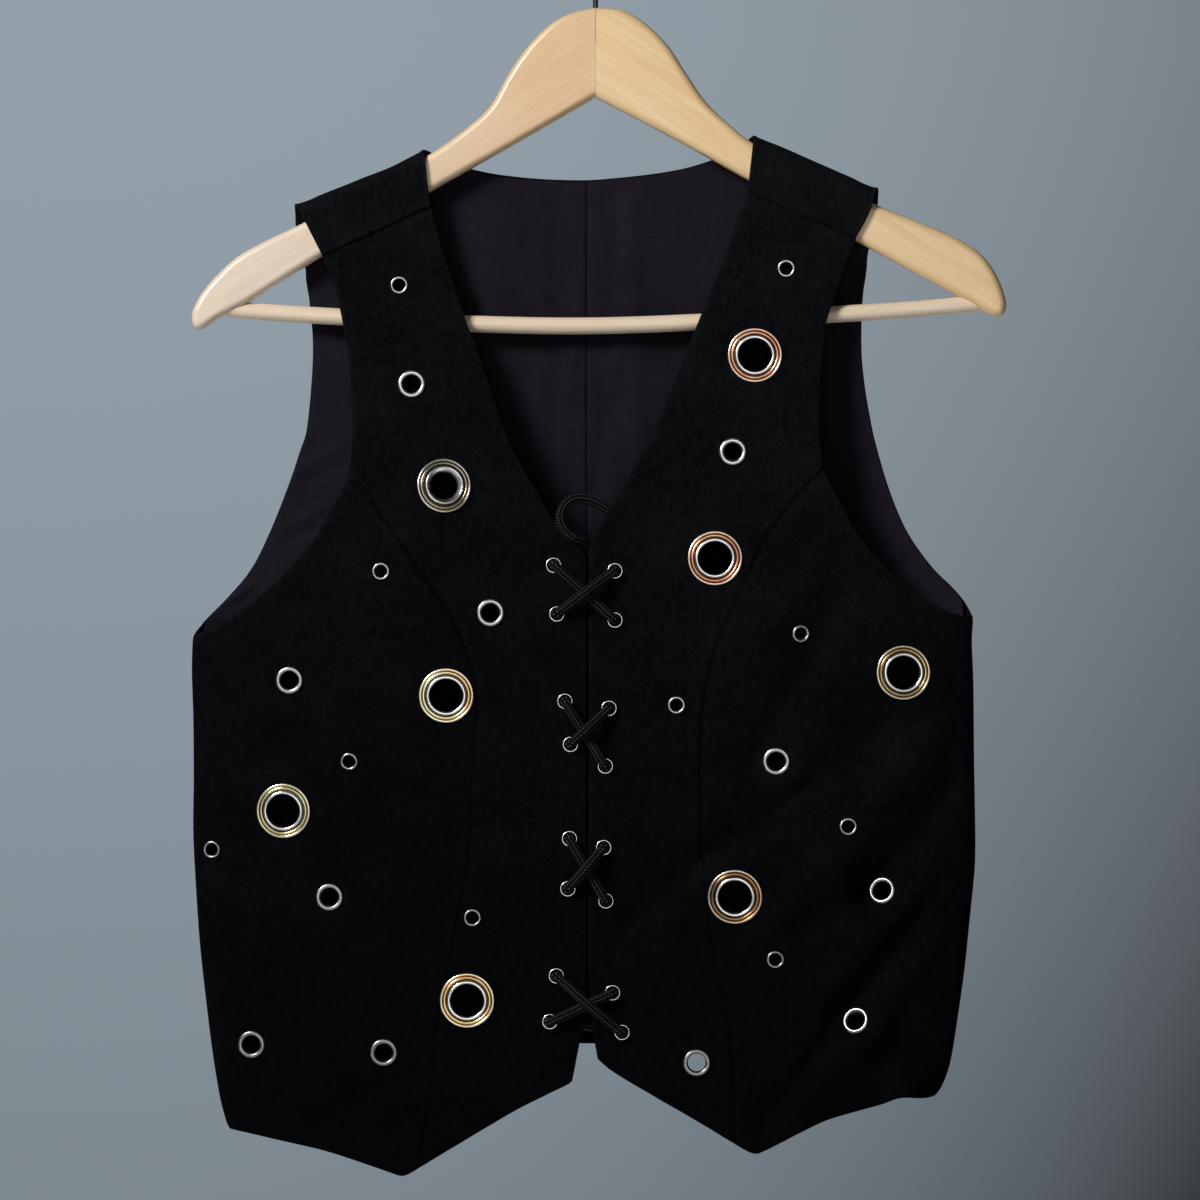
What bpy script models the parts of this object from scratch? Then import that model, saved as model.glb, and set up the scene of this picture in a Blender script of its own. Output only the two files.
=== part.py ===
"""Black denim laced vest on a wooden hanger.

Millimetres inside this file: x to the right, y away from the viewer, and
"drop" measured down from the top of the wood.  The inside top of the hook is
the origin of the finished part, TOP millimetres above the wood.
Every cloth panel is a flat pattern (x, w) filled with points, carried onto the
garment's form by a function, and given its wall along the form's own normal.
"""
import bpy
import math
import numpy as np
from mathutils import Vector
from mathutils.geometry import delaunay_2d_cdt

for ob in list(bpy.data.objects):
    bpy.data.objects.remove(ob, do_unlink=True)

TOP = 72.0          # hook mount down to the top of the wood
CX = -0.8           # hanger centre line in pattern x
DENIM = 1.4         # wall of the shell cloth
LINING = 1.0        # wall of the lining cloth
GAP = 0.2           # each side of a seam draws back by this
H_FRONT = 8.6       # mid surface in front of the hanger
H_BACK = 9.6        # mid surface behind the hanger


def world(p):
    return ((p[0] - CX) * 0.001, p[1] * 0.001, -(TOP + p[2]) * 0.001)


# ------------------------------------------------------------- edge curves
# columns: x, drop
L_NECK = [(-90.2, 108), (-84.2, 130.7), (-72.4, 165.8), (-62, 195), (-51.3, 226.8), (-40, 250.6), (-31.9, 264),
          (-25.4, 276), (-18.4, 283), (-9.2, 293), (-6.2, 298)]
L_CF = [(-6.2, 298), (-6, 380), (-6, 460), (-6.2, 529), (-8.4, 552), (-13.5, 580)]
L_HEM_C = [(-13.5, 580), (-15.7, 581.8), (-43.2, 595.5), (-71.8, 612.4), (-96.7, 627.4)]
L_HEM_S = [(-96.7, 627.4), (-101, 630.2), (-105.3, 631.6), (-110.7, 630), (-124.2, 625.3), (-144.2, 618.8),
           (-170, 612.8), (-199.6, 606.6)]
L_PRINCESS = [(-134.5, 256), (-124.2, 265), (-115, 277), (-107, 288.4), (-95.6, 304.6), (-81, 326), (-70.2, 348),
              (-64.5, 370), (-65.2, 390), (-67.4, 423.4), (-69.1, 461.2), (-73.4, 484), (-79, 513), (-85.9, 548.1),
              (-88.6, 574), (-91.3, 596.2), (-96.7, 627.4)]
L_SIDE = [(-218.7, 340.2), (-219.2, 358.6), (-218.4, 385.6), (-218.2, 418), (-218.4, 447), (-217, 475.7),
          (-214.8, 507.6), (-211, 542), (-207.6, 568.6), (-203.6, 592), (-199.6, 606.6)]
L_ARM_U = [(-148.5, 134.5), (-142.6, 148.5), (-138.4, 165), (-134.4, 188), (-132.8, 208), (-132.3, 234), (-134.5, 256)]
L_ARM_L = [(-134.5, 256), (-138.2, 263), (-142, 269.5), (-147.4, 279), (-154, 290), (-163.6, 301.5), (-178.7, 316),
           (-194.4, 328), (-206.8, 335.6), (-218.7, 340.2)]
R_NECK = [(81.5, 99.9), (76, 115), (69, 134), (56.7, 166), (41, 204), (30.2, 228.4), (15, 257.5), (7, 271), (0.5, 282),
          (-4.2, 292)]
R_CF = [(-4.2, 292), (-4.3, 380), (-4.3, 460), (-4.1, 529), (-2.4, 550), (0.5, 568)]
R_HEM_C = [(0.5, 568), (8, 574.6), (31.3, 588.6), (54.5, 602), (74.5, 614.2)]
R_HEM_S = [(74.5, 614.2), (82, 618.6), (86.5, 619.6), (96.7, 615), (110, 608), (125.3, 601), (152.8, 593.6), (164, 589.6),
           (177, 590), (183.8, 588.8)]
R_PRINCESS = [(121.5, 250), (114, 257.6), (101.5, 272), (90.4, 288), (83.6, 301), (75.6, 320), (66, 340), (59.8, 360),
              (56.4, 381), (55.4, 404), (55.4, 440), (57.2, 466), (60, 492), (63, 513), (70, 544), (72.6, 572),
              (74.5, 614.2)]
R_SIDE = [(203.6, 329.8), (202.8, 343), (203.6, 366), (204, 407.7), (204.7, 451.4), (204.2, 468), (201.8, 492),
          (198.8, 521), (195, 548), (191.4, 570), (188, 581), (183.8, 588.8)]
R_ARM_U = [(139.9, 125), (132.3, 144.2), (127, 160), (123.2, 173), (121.2, 188), (120.2, 206), (119.6, 230), (121.5, 250)]
R_ARM_L = [(121.5, 250), (128, 263), (132.3, 271), (138.2, 282), (151.2, 299), (167.4, 314), (184.7, 324.5),
           (194, 328.6), (203.6, 329.8)]
# back armholes, read upward from the armpit
LB_ARM = [(-218.7, 340.2), (-213.3, 332.6), (-202.5, 321.4), (-191.2, 308.6), (-184, 297), (-175, 277), (-166.3, 254.3),
          (-161.5, 239.8), (-158.2, 230), (-155.5, 206.3), (-154.4, 182), (-156, 161.5), (-158.4, 141), (-161.6, 127)]
RB_ARM = [(203.6, 329.8), (199.8, 322.4), (193.3, 314.4), (182, 303), (168.5, 283.5), (158.8, 260.3), (151.2, 234.4),
          (148.4, 221), (145.8, 206), (143.8, 186), (144.2, 160), (147, 134), (150.4, 117)]
BACK_NECK = [(-76, 84.4), (-65, 87.4), (-52, 89.8), (-33, 91.8), (-15, 92.6), (0, 92.4), (28, 89.6), (46, 86.6), (60, 82.6),
             (70, 78.8)]
BACK_HEM = [(-199.6, 606.6), (-170, 594), (-130, 578), (-80, 566), (-30, 560.6), (10, 560), (60, 563), (110, 569),
            (150, 577), (183.8, 588.8)]
# top fold of the shoulders: x, drop
FOLD_TOP = [(-230, 118), (-164, 107), (-146, 100.4), (-128, 93.2), (-110, 86), (-98, 79.6), (-93, 77), (-85, 73.4),
            (-74, 71), (-50, 69.5), (0, 68), (50, 66.5), (70, 66.5), (80, 68.4), (85, 69.8), (97, 74.6), (118, 83.8),
            (134, 90.8), (152, 98), (230, 110)]

# soft folds: x0, drop0, x1, drop1, height (+ out of the cloth), half width
FRONT_FOLDS = [
    (-168, 398, -112, 428, -4.2, 16), (-112, 428, -66, 444, -3.2, 14),
    (-158, 426, -100, 462, 2.6, 12),
    (-112, 314, -66, 338, -1.6, 7), (-66, 338, -36, 366, -1.4, 6),
    (-140, 500, -120, 560, 1.8, 16),
    (128, 322, 88, 408, -3.0, 10),
    (150, 396, 66, 456, -4.6, 11), (66, 456, 20, 492, -3.4, 11),
    (184, 392, 128, 462, 3.8, 10), (128, 462, 84, 500, 3.0, 11),
    (194, 418, 150, 478, -4.6, 9), (150, 478, 110, 500, -3.0, 10),
    (180, 468, 128, 528, 4.2, 11),
    (172, 492, 140, 534, -5.0, 8), (140, 534, 92, 604, -4.4, 8),
    (186, 500, 152, 548, 3.2, 8), (150, 548, 108, 596, 2.6, 8),
]
BACK_FOLDS = [
    (-150, 420, -60, 470, 2.2, 20), (140, 400, 50, 462, 2.2, 20),
    (-165, 458, -90, 510, -2.0, 19), (168, 444, 80, 504, -2.0, 19),
    (-28, 110, -34, 240, 1.4, 18), (22, 110, 12, 230, -1.4, 18),
]

# eyelets: x, drop, kind
EYELETS = [
    (-82.6, 259.2, "large"), (-81.2, 372.1, "large"), (-169.0, 434.4, "large"), (-70.0, 536.6, "large"),
    (85.3, 188.5, "large"), (63.6, 298.3, "large"), (165.2, 359.9, "large"), (74.4, 480.6, "large"),
    (-100.2, 204.1, "medium"), (-57.4, 327.6, "medium"), (-165.9, 364.0, "medium"), (-144.2, 480.9, "medium"),
    (-186.6, 560.8, "medium"), (-115.0, 564.6, "medium"), (73.3, 240.8, "medium"), (96.7, 407.7, "medium"),
    (154.3, 477.9, "medium"), (140.0, 548.0, "medium"), (53.8, 570.2, "medium"),
    (-107.0, 150.5, "small"), (-116.4, 305.3, "small"), (-133.6, 407.7, "small"), (-207.9, 455.6, "small"),
    (-67.1, 491.9, "small"), (102.3, 141.5, "small"), (109.5, 338.8, "small"), (42.8, 377.3, "small"),
    (135.5, 443.0, "small"), (96.1, 514.5, "small"),
]
# lacing holes: left x, drop, right x, drop
LACING = [(-23.4, 302.1, 9.7, 305.1), (-21.6, 328.3, 9.7, 331.6), (-17.3, 375.3, 6.5, 379.1), (-14.3, 398.5, 4.5, 410.2),
          (-14.8, 449.3, 3.6, 454.1), (-15.7, 476.3, 4.7, 482.8), (-21.9, 523.3, 8.4, 532.4), (-25.4, 548, 13.5, 553.8)]
LACE_R = 2.6

# spun profiles: radius, height above the middle of the cloth
PROFILE = {
    "large": [(8.8, -1.7), (11.2, -1.7), (11.2, -1.0), (9.4, -1.0), (9.4, 1.0), (14.8, 1.0), (14.8, 1.6), (10.6, 2.2),
              (8.8, 2.7)],
    "medium": [(4.7, -1.3), (5.2, -1.3), (5.2, 1.0), (7.6, 1.0), (7.6, 1.4), (6.0, 2.4), (4.7, 1.9)],
    "small": [(3.1, -1.2), (3.5, -1.2), (3.5, 1.0), (4.9, 1.0), (4.9, 1.4), (3.9, 1.9), (3.1, 1.6)],
    "lace": [(3.25, -1.1), (3.7, -1.1), (3.7, 1.0), (4.6, 1.0), (4.6, 1.4), (3.9, 1.8), (3.25, 1.5)],
}
SEGMENTS = {"large": 12, "medium": 10, "small": 8, "lace": 8}


def ring_radii(kind):
    """Hole in the cloth, and the flat ring round it."""
    prof = PROFILE[kind]
    barrel = {"large": 9.4, "medium": 5.2, "small": 3.5, "lace": 3.7}[kind]
    return barrel + 0.4, max(r for r, h in prof) + 0.9


ALL_EYELETS = EYELETS + [(r[0], r[1], "lace") for r in LACING] + [(r[2], r[3], "lace") for r in LACING]


# ------------------------------------------------------------- curve helpers
def smooth(t):
    t = np.clip(t, 0.0, 1.0)
    return t * t * (3 - 2 * t)


def dense(points, per=14):
    pts = [np.array(p, float) for p in points]
    pts = [2 * pts[0] - pts[1]] + pts + [2 * pts[-1] - pts[-2]]
    out = []
    for i in range(1, len(pts) - 2):
        p0, p1, p2, p3 = pts[i - 1:i + 3]
        m1 = (p2 - p0) * 0.5 * min(1.0, 2 * np.linalg.norm(p2 - p1) / (np.linalg.norm(p2 - p0) + 1e-9))
        m2 = (p3 - p1) * 0.5 * min(1.0, 2 * np.linalg.norm(p2 - p1) / (np.linalg.norm(p3 - p1) + 1e-9))
        for k in range(per):
            t = k / per
            out.append((2 * t**3 - 3 * t**2 + 1) * p1 + (t**3 - 2 * t**2 + t) * m1
                       + (-2 * t**3 + 3 * t**2) * p2 + (t**3 - t**2) * m2)
    out.append(pts[-2])
    return np.array(out)


def resample(points, step):
    d = dense(points)
    seg = np.concatenate([[0], np.cumsum(np.linalg.norm(np.diff(d, axis=0), axis=1))])
    n = max(1, int(round(seg[-1] / step)))
    s = np.linspace(0, seg[-1], n + 1)
    return np.stack([np.interp(s, seg, d[:, k]) for k in range(2)], 1)


def chain(*parts):
    """Join curves that end where the next begins; the closing point is left out."""
    out = []
    for p in parts:
        out.extend(list(p)[:-1])
    return np.array(out)


_sl, _sr = dense(L_SIDE), dense(R_SIDE)


def side_x(x, d):
    left = np.interp(d, _sl[:, 1], -_sl[:, 0])
    right = np.interp(d, _sr[:, 1], _sr[:, 0])
    return np.where(x < -1.0, left, right)


def across(x, d):
    """0 at the middle of the body, 1 at its side seam."""
    return np.clip(np.abs(x + 1.0) / (side_x(x, d) + np.where(x < -1.0, -1.0, 1.0)), 0.0, 1.0)


def prof(q):
    return (1.0 - q ** 2.6) ** (1 / 2.6)


def fold_field(table, x, d):
    total = np.zeros_like(x)
    for x0, d0, x1, d1, a, w in table:
        vx, vd = x1 - x0, d1 - d0
        t = np.clip(((x - x0) * vx + (d - d0) * vd) / (vx * vx + vd * vd), 0, 1)
        r2 = (x - x0 - t * vx) ** 2 + (d - d0 - t * vd) ** 2
        total = total + a * np.exp(-r2 / (w * w))
    return total


def hold(d):
    return 1.0 - smooth((d - 190.0) / 130.0)


def front_depth(x, d):
    q = across(x, d)
    full = H_FRONT + 14.0 * smooth((d - 125) / 215) - 5.0 * smooth((d - 430) / 210)
    bust = 5.5 * np.exp(-((x + 96) / 46) ** 2 - ((d - 336) / 58) ** 2) \
        + 5.5 * np.exp(-((x - 88) / 46) ** 2 - ((d - 330) / 58) ** 2)
    fade = np.clip((1 - q) / 0.07, 0, 1)
    m = H_FRONT * hold(d)
    wave = 3.0 * np.exp(-((x - 168) / 9) ** 2) * smooth((d - 560) / 28) \
        - 2.5 * np.exp(-((x - 150) / 9) ** 2) * smooth((d - 560) / 28)
    return -(m + (full - m + bust) * prof(q) + (fold_field(FRONT_FOLDS, x, d) + wave) * fade)


def back_depth(x, d):
    q = across(x, d)
    full = H_BACK + 9.0 * smooth((d - 112) / 200) - 2.5 * smooth((d - 450) / 150)
    fade = np.clip((1 - q) / 0.07, 0, 1)
    m = H_BACK * hold(d)
    return m + (full - m) * prof(q) + fold_field(BACK_FOLDS, x, d) * fade


def slopes(fn, x, d, h=1.5):
    return (fn(x + h, d) - fn(x - h, d)) / (2 * h), (fn(x, d + h) - fn(x, d - h)) / (2 * h)


# eyelets that the cloth turns a little away from the front: slope across, slope down
LEAN = {(-82.6, 259.2): (0.2, -0.04), (74.4, 480.6): (-0.04, 0.12), (-100.2, 204.1): (0.06, 0.0)}
PADS = []
for ex, ed, kind in ALL_EYELETS:
    ax, ad = np.array([float(ex)]), np.array([float(ed)])
    gx, gd = slopes(front_depth, ax, ad, 5.0)
    r1 = ring_radii(kind)[1] + 1.6
    lean = LEAN.get((ex, ed), (0.0, 0.0))
    PADS.append((ex, ed, float(front_depth(ax, ad)[0]), float(gx[0]) * 0.8 + lean[0], float(gd[0]) * 0.8 + lean[1],
                 r1, r1 + (6.5 if kind == "lace" else 11.0)))


def front_y(x, d):
    """Front form, made flat where an eyelet clamps the cloth."""
    y = front_depth(x, d)
    out = y.copy()
    for ex, ed, y0, gx, gd, r1, r2 in PADS:
        r = np.hypot(x - ex, d - ed)
        w = 1.0 - smooth((r - r1) / (r2 - r1))
        out = out + w * (y0 + gx * (x - ex) + gd * (d - ed) - y)
    return out


def on_side(x, d, arm):
    return (across(x, d) > 0.9965) & (d > arm - 3)


def front_point(x, w):
    y = front_y(x, w)
    edge = on_side(x, w, np.where(x < 0, 340.2, 329.8))
    y = np.where(edge, -0.25, np.minimum(y, -0.25))
    return np.stack([x, y, w], -1)


def front_normal(x, w):
    gx, gd = slopes(front_y, x, w)
    n = np.stack([gx, -np.ones_like(gx), -gd], -1)
    n = n / np.linalg.norm(n, axis=-1, keepdims=True)
    edge = on_side(x, w, np.where(x < 0, 340.2, 329.8))
    side = np.stack([np.sign(x), 0 * x, 0 * x], -1)
    return np.where(edge[..., None], side, n)


# the roll over the shoulder
ROLL_H, ROLL_Z = 9.1, 7.4
ROLL_LEN = 27.0
_ft = dense(FOLD_TOP)


def fold_top(x):
    return np.interp(x, _ft[:, 0], _ft[:, 1])


def roll_w(x, drop):
    """Pattern height of a point of the front strap that lies at this drop."""
    t = fold_top(np.asarray(x, float))
    return t + ROLL_Z - ROLL_LEN - (drop - t - ROLL_Z)


def back_point(x, w):
    t = fold_top(x)
    f = np.clip((t + ROLL_Z - w) / ROLL_LEN, 0, 1)
    ang = f * math.pi
    c, s = np.cos(ang), np.sin(ang)
    e = 0.86
    y = 0.5 + ROLL_H * np.sign(c) * np.abs(c) ** e
    drop = t + ROLL_Z - ROLL_Z * np.abs(s) ** e
    front = w < t + ROLL_Z - ROLL_LEN
    back = w >= t + ROLL_Z
    drop = np.where(front, t + ROLL_Z + (t + ROLL_Z - ROLL_LEN - w), drop)
    drop = np.where(back, w, drop)
    yb = back_depth(x, np.maximum(w, 60.0))
    edge = on_side(x, w, np.where(x < 0, 340.2, 329.8))
    yb = np.where(edge, 0.25, np.maximum(yb, 0.25))
    y = np.where(back, yb, y)
    return np.stack([x, y, drop], -1)


def back_normal(x, w):
    h = 0.8
    du = back_point(x + h, w) - back_point(x - h, w)
    dw = back_point(x, w + h) - back_point(x, w - h)
    du[..., 2] *= -1
    dw[..., 2] *= -1
    n = np.cross(du, dw)
    n = n / np.linalg.norm(n, axis=-1, keepdims=True)
    edge = on_side(x, w, np.where(x < 0, 340.2, 329.8))
    side = np.stack([np.sign(x), 0 * x, 0 * x], -1)
    return np.where(edge[..., None], side, n)


LINE_IN = DENIM / 2 + 0.9 + LINING / 2


def lining_point(x, w):
    p = back_point(x, w)
    n = back_normal(x, w)
    n[..., 2] *= -1
    return p - n * (LINE_IN + 1.3 * smooth((w - 230) / 70))[..., None]


# ------------------------------------------------------------- mesh helpers
def add_mesh(name, verts, faces):
    me = bpy.data.meshes.new(name)
    me.from_pydata([tuple(v) for v in verts], [], [tuple(int(i) for i in f) for f in faces])
    me.update()
    ob = bpy.data.objects.new(name, me)
    bpy.context.scene.collection.objects.link(ob)
    vol = 0.0
    vs = [Vector(v) for v in verts]
    for f in faces:
        for k in range(1, len(f) - 1):
            vol += vs[f[0]].dot(vs[f[k]].cross(vs[f[k + 1]]))
    if vol < 0:
        me.flip_normals()
    return ob


def area2(poly):
    x, y = poly[:, 0], poly[:, 1]
    return 0.5 * float(np.sum(x * np.roll(y, -1) - np.roll(x, -1) * y))


def inset(poly, amount):
    if area2(poly) < 0:
        poly = poly[::-1]
    e = np.roll(poly, -1, 0) - poly
    n = np.stack([e[:, 1], -e[:, 0]], 1)
    n = n / (np.linalg.norm(n, axis=1, keepdims=True) + 1e-9)
    v = n + np.roll(n, 1, 0)
    ln = np.linalg.norm(v, axis=1, keepdims=True)
    v = v / ln
    scale = np.clip(2 / ln, 1, 2.2)
    return poly - v * amount * scale


def inside(poly, pts):
    x, y = pts[:, 0], pts[:, 1]
    res = np.zeros(len(pts), bool)
    a, b = poly, np.roll(poly, -1, 0)
    for (x0, y0), (x1, y1) in zip(a, b):
        cond = (y0 > y) != (y1 > y)
        if y1 != y0:
            res ^= cond & (x < (x1 - x0) * (y - y0) / (y1 - y0) + x0)
    return res


def edge_distance(poly, pts):
    best = np.full(len(pts), 1e9)
    a, b = poly, np.roll(poly, -1, 0)
    for p, q in zip(a, b):
        v = q - p
        t = np.clip(((pts - p) @ v) / (v @ v + 1e-12), 0, 1)
        best = np.minimum(best, np.linalg.norm(pts - p - t[:, None] * v, axis=1))
    return best


def lattice(poly, step):
    """Points of one grid shared by every panel, so neighbours bend alike."""
    lo, hi = poly.min(0), poly.max(0)
    rows = []
    pitch = step * 0.866
    for k in range(int(lo[1] // pitch), int(hi[1] // pitch) + 1):
        i = np.arange(int(lo[0] // step), int(hi[0] // step) + 1)
        xs = (i + (0.5 if k % 2 else 0.0)) * step
        rows.append(np.stack([xs, np.full_like(xs, k * pitch)], 1))
    return np.concatenate(rows)


def ring(pad, kind, radius, count, turn=0.0):
    """Points of a true circle in the clamped plane, seen in the pattern."""
    ex, ed, y0, gx, gd = pad[:5]
    n = np.array([gx, -1.0, gd])
    n /= np.linalg.norm(n)
    u = np.cross(n, [0, 0, 1.0])
    u /= np.linalg.norm(u)
    v = np.cross(n, u)
    out = []
    for k in range(count):
        a = 2 * math.pi * (k + turn) / count
        d = u * math.cos(a) + v * math.sin(a)
        out.append((ex + radius * d[0], ed + radius * d[2]))
    return np.array(out)


def cloth(name, outline, point, normal, wall, step, holes=(), extra=None):
    poly = inset(np.asarray(outline, float), GAP)
    verts = [tuple(p) for p in poly]
    edges = [(i, (i + 1) % len(poly)) for i in range(len(poly))]
    cut, away = [], []
    for pad, kind in holes:
        r_hole, r_flat = ring_radii(kind)
        n = SEGMENTS[kind]
        inner = ring(pad, kind, r_hole, n)
        base = len(verts)
        verts += [tuple(p) for p in inner]
        edges += [(base + i, base + (i + 1) % n) for i in range(n)]
        cut.append(inner)
        outer = ring(pad, kind, r_flat, n, 0.5)
        ok = inside(poly, outer) & (edge_distance(poly, outer) > 1.6)
        base = len(verts)
        if ok.all():
            verts += [tuple(p) for p in outer]
            edges += [(base + i, base + (i + 1) % n) for i in range(n)]
        else:
            verts += [tuple(p) for p, g in zip(outer, ok) if g]
        away.append((pad[0], pad[1], r_flat))
    pts = lattice(poly, step)
    if extra is not None and len(extra):
        ex = np.asarray(extra, float)
        ex = ex[inside(poly, ex) & (edge_distance(poly, ex) > 1.2)]
        pts = pts[[np.min(np.hypot(*(ex - p).T)) > step * 0.45 for p in pts]]
        pts = np.concatenate([pts[inside(poly, pts) & (edge_distance(poly, pts) > step * 0.42)], ex])
    else:
        pts = pts[inside(poly, pts) & (edge_distance(poly, pts) > step * 0.42)]
    for ax, ad, r in away:
        pts = pts[np.hypot(pts[:, 0] - ax, pts[:, 1] - ad) > r + step * 0.3]
    verts += [tuple(p) for p in pts]
    res = delaunay_2d_cdt([Vector(v) for v in verts], edges, [], 1, 1e-4)
    vo = np.array([tuple(v) for v in res[0]])
    tris = []
    for f in res[2]:
        c = vo[list(f)].mean(0)[None]
        if not inside(poly, c)[0] or any(inside(h, c)[0] for h in cut):
            continue
        tris.append(tuple(f))
    used = sorted({i for f in tris for i in f})
    remap = {o: i for i, o in enumerate(used)}
    vo = vo[used]
    tris = [tuple(remap[i] for i in f) for f in tris]
    mid = point(vo[:, 0], vo[:, 1])
    n = normal(vo[:, 0], vo[:, 1])
    n = n * np.array([1, 1, -1.0])
    outer = mid + n * wall / 2
    inner = mid - n * wall / 2
    N = len(vo)
    allv = [world(p) for p in outer] + [world(p) for p in inner]
    faces = list(tris) + [tuple(i + N for i in f[::-1]) for f in tris]
    count = {}
    for f in tris:
        for k in range(3):
            e = (f[k], f[(k + 1) % 3])
            count[tuple(sorted(e))] = count.get(tuple(sorted(e)), 0) + 1
    for f in tris:
        for k in range(3):
            a, b = f[k], f[(k + 1) % 3]
            if count[tuple(sorted((a, b)))] == 1:
                # both panels of a seam split their edge wall along the same diagonal
                if vo[a][1] < vo[b][1]:
                    faces += [(a, a + N, b + N), (a, b + N, b)]
                else:
                    faces += [(a, a + N, b), (a + N, b + N, b)]
    return add_mesh(name, allv, faces)


def tube(name, path, radius, sides):
    path = [np.array(p, float) for p in path]
    rings = []
    t0 = path[1] - path[0]
    ref = np.array([0, 1.0, 0]) if abs(t0[1]) < 0.8 * np.linalg.norm(t0) else np.array([1.0, 0, 0])
    for i, p in enumerate(path):
        a = path[max(i - 1, 0)]
        b = path[min(i + 1, len(path) - 1)]
        t = (b - a) / np.linalg.norm(b - a)
        ref = ref - t * (ref @ t)
        ref /= np.linalg.norm(ref)
        o = np.cross(t, ref)
        rings.append([p + radius * (ref * math.cos(k * 2 * math.pi / sides) + o * math.sin(k * 2 * math.pi / sides))
                      for k in range(sides)])
    verts = [world(v) for r in rings for v in r]
    faces = []
    for i in range(len(rings) - 1):
        for k in range(sides):
            a = i * sides + k
            b = i * sides + (k + 1) % sides
            faces.append((a, b, b + sides, a + sides))
    faces.append(tuple(range(sides))[::-1])
    last = (len(rings) - 1) * sides
    faces.append(tuple(last + k for k in range(sides)))
    return add_mesh(name, verts, faces)


def cut_with(ob, cutter):
    mod = ob.modifiers.new("cut_" + cutter.name, "BOOLEAN")
    mod.operation = "DIFFERENCE"
    mod.solver = "EXACT"
    mod.object = cutter
    cutter.hide_render = True
    cutter.display_type = "WIRE"


# ------------------------------------------------------------- fronts
SEAM_STEP, HEM_STEP = 14.5, 18.0
seam = {
    "L_princess": resample(L_PRINCESS, SEAM_STEP), "R_princess": resample(R_PRINCESS, SEAM_STEP),
    "L_side": resample(L_SIDE, 18), "R_side": resample(R_SIDE, 18),
}
cols = np.array([0.0, 0.2, 0.4, 0.6, 0.8, 1.0])
L_SHOULDER = np.stack([-90.2 + (-148.5 + 90.2) * cols, 108 + (134.5 - 108) * cols], 1)
R_SHOULDER = np.stack([81.5 + (139.9 - 81.5) * cols, 99.9 + (125 - 99.9) * cols], 1)


def holes_in(outline):
    poly = np.asarray(outline, float)
    if area2(poly) < 0:
        poly = poly[::-1]
    out = []
    for pad, e in zip(PADS, ALL_EYELETS):
        if inside(poly, np.array([[pad[0], pad[1]]]))[0]:
            out.append((pad, e[2]))
    return out


def side_rows(curve, fracs, d0):
    out = []
    for f in fracs:
        for x, d in resample(curve, 17):
            if d > d0:
                out.append((-1.0 + (x + 1.0) * f, d))
    return out


EDGE_FRAC = (0.985, 0.935)
BACK_FRAC = (0.988, 0.96, 0.91)
left_centre = chain(resample(L_NECK, 15), resample(L_CF, 17), resample(L_HEM_C, HEM_STEP), seam["L_princess"][::-1],
                    resample(L_ARM_U, 15)[::-1], L_SHOULDER[::-1])
left_side = chain(seam["L_princess"], resample(L_HEM_S, HEM_STEP), seam["L_side"][::-1], resample(L_ARM_L, 13)[::-1])
right_centre = chain(resample(R_NECK, 15), resample(R_CF, 17), resample(R_HEM_C, HEM_STEP), seam["R_princess"][::-1],
                     resample(R_ARM_U, 15)[::-1], R_SHOULDER[::-1])
right_side = chain(seam["R_princess"], resample(R_HEM_S, HEM_STEP), seam["R_side"][::-1], resample(R_ARM_L, 13)[::-1])

FRONT_STEP = 18.7
for name, outline, curve in (("front_centre_left", left_centre, None), ("front_side_left", left_side, L_SIDE),
                             ("front_centre_right", right_centre, None), ("front_side_right", right_side, R_SIDE)):
    cloth(name, outline, front_point, front_normal, DENIM, FRONT_STEP, holes_in(outline),
          side_rows(curve, EDGE_FRAC, 345) if curve else None)

# ------------------------------------------------------------- back
BACK_STEP = 28.5


def strap_edge(points):
    """Front strap points given as x, drop turned into the back's pattern."""
    return np.array([(x, float(roll_w(x, d))) for x, d in points])


left_over = [(-163.4, 121), (-164, float(fold_top(-164.0)) + ROLL_Z - ROLL_LEN * 0.3),
             (-163, float(fold_top(-163.0)) + ROLL_Z - ROLL_LEN * 0.7)]
right_over = [(152, 112), (152.8, float(fold_top(152.8)) + ROLL_Z - ROLL_LEN * 0.3),
              (151.4, float(fold_top(151.4)) + ROLL_Z - ROLL_LEN * 0.7)]
left_seam_w = strap_edge(L_SHOULDER[::-1])
right_seam_w = strap_edge(R_SHOULDER)
neck_left = np.array([(-93.2, float(fold_top(-93.2)) + ROLL_Z - ROLL_LEN * 0.86),
                      (-93.6, float(fold_top(-93.6)) + ROLL_Z - ROLL_LEN * 0.5),
                      (-88.5, float(fold_top(-88.5)) + ROLL_Z - ROLL_LEN * 0.14)])
neck_right = np.array([(80.4, float(fold_top(80.4)) + ROLL_Z - ROLL_LEN * 0.14),
                       (84.6, float(fold_top(84.6)) + ROLL_Z - ROLL_LEN * 0.5),
                       (84.4, float(fold_top(84.4)) + ROLL_Z - ROLL_LEN * 0.86)])
back_outline = np.concatenate([
    resample(BACK_HEM, 22)[:-1],
    seam["R_side"][::-1][:-1],
    resample(RB_ARM, 17),
    np.array(right_over),
    strap_edge([(147.6, 110.5)]),
    right_seam_w[::-1],
    neck_right[::-1],
    resample(BACK_NECK, 17)[::-1],
    neck_left[::-1],
    left_seam_w[::-1],
    strap_edge([(-157.4, 117)]),
    np.array(left_over)[::-1],
    resample(LB_ARM, 17)[::-1],
    seam["L_side"][1:-1],
])
roll_rows = []
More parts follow.
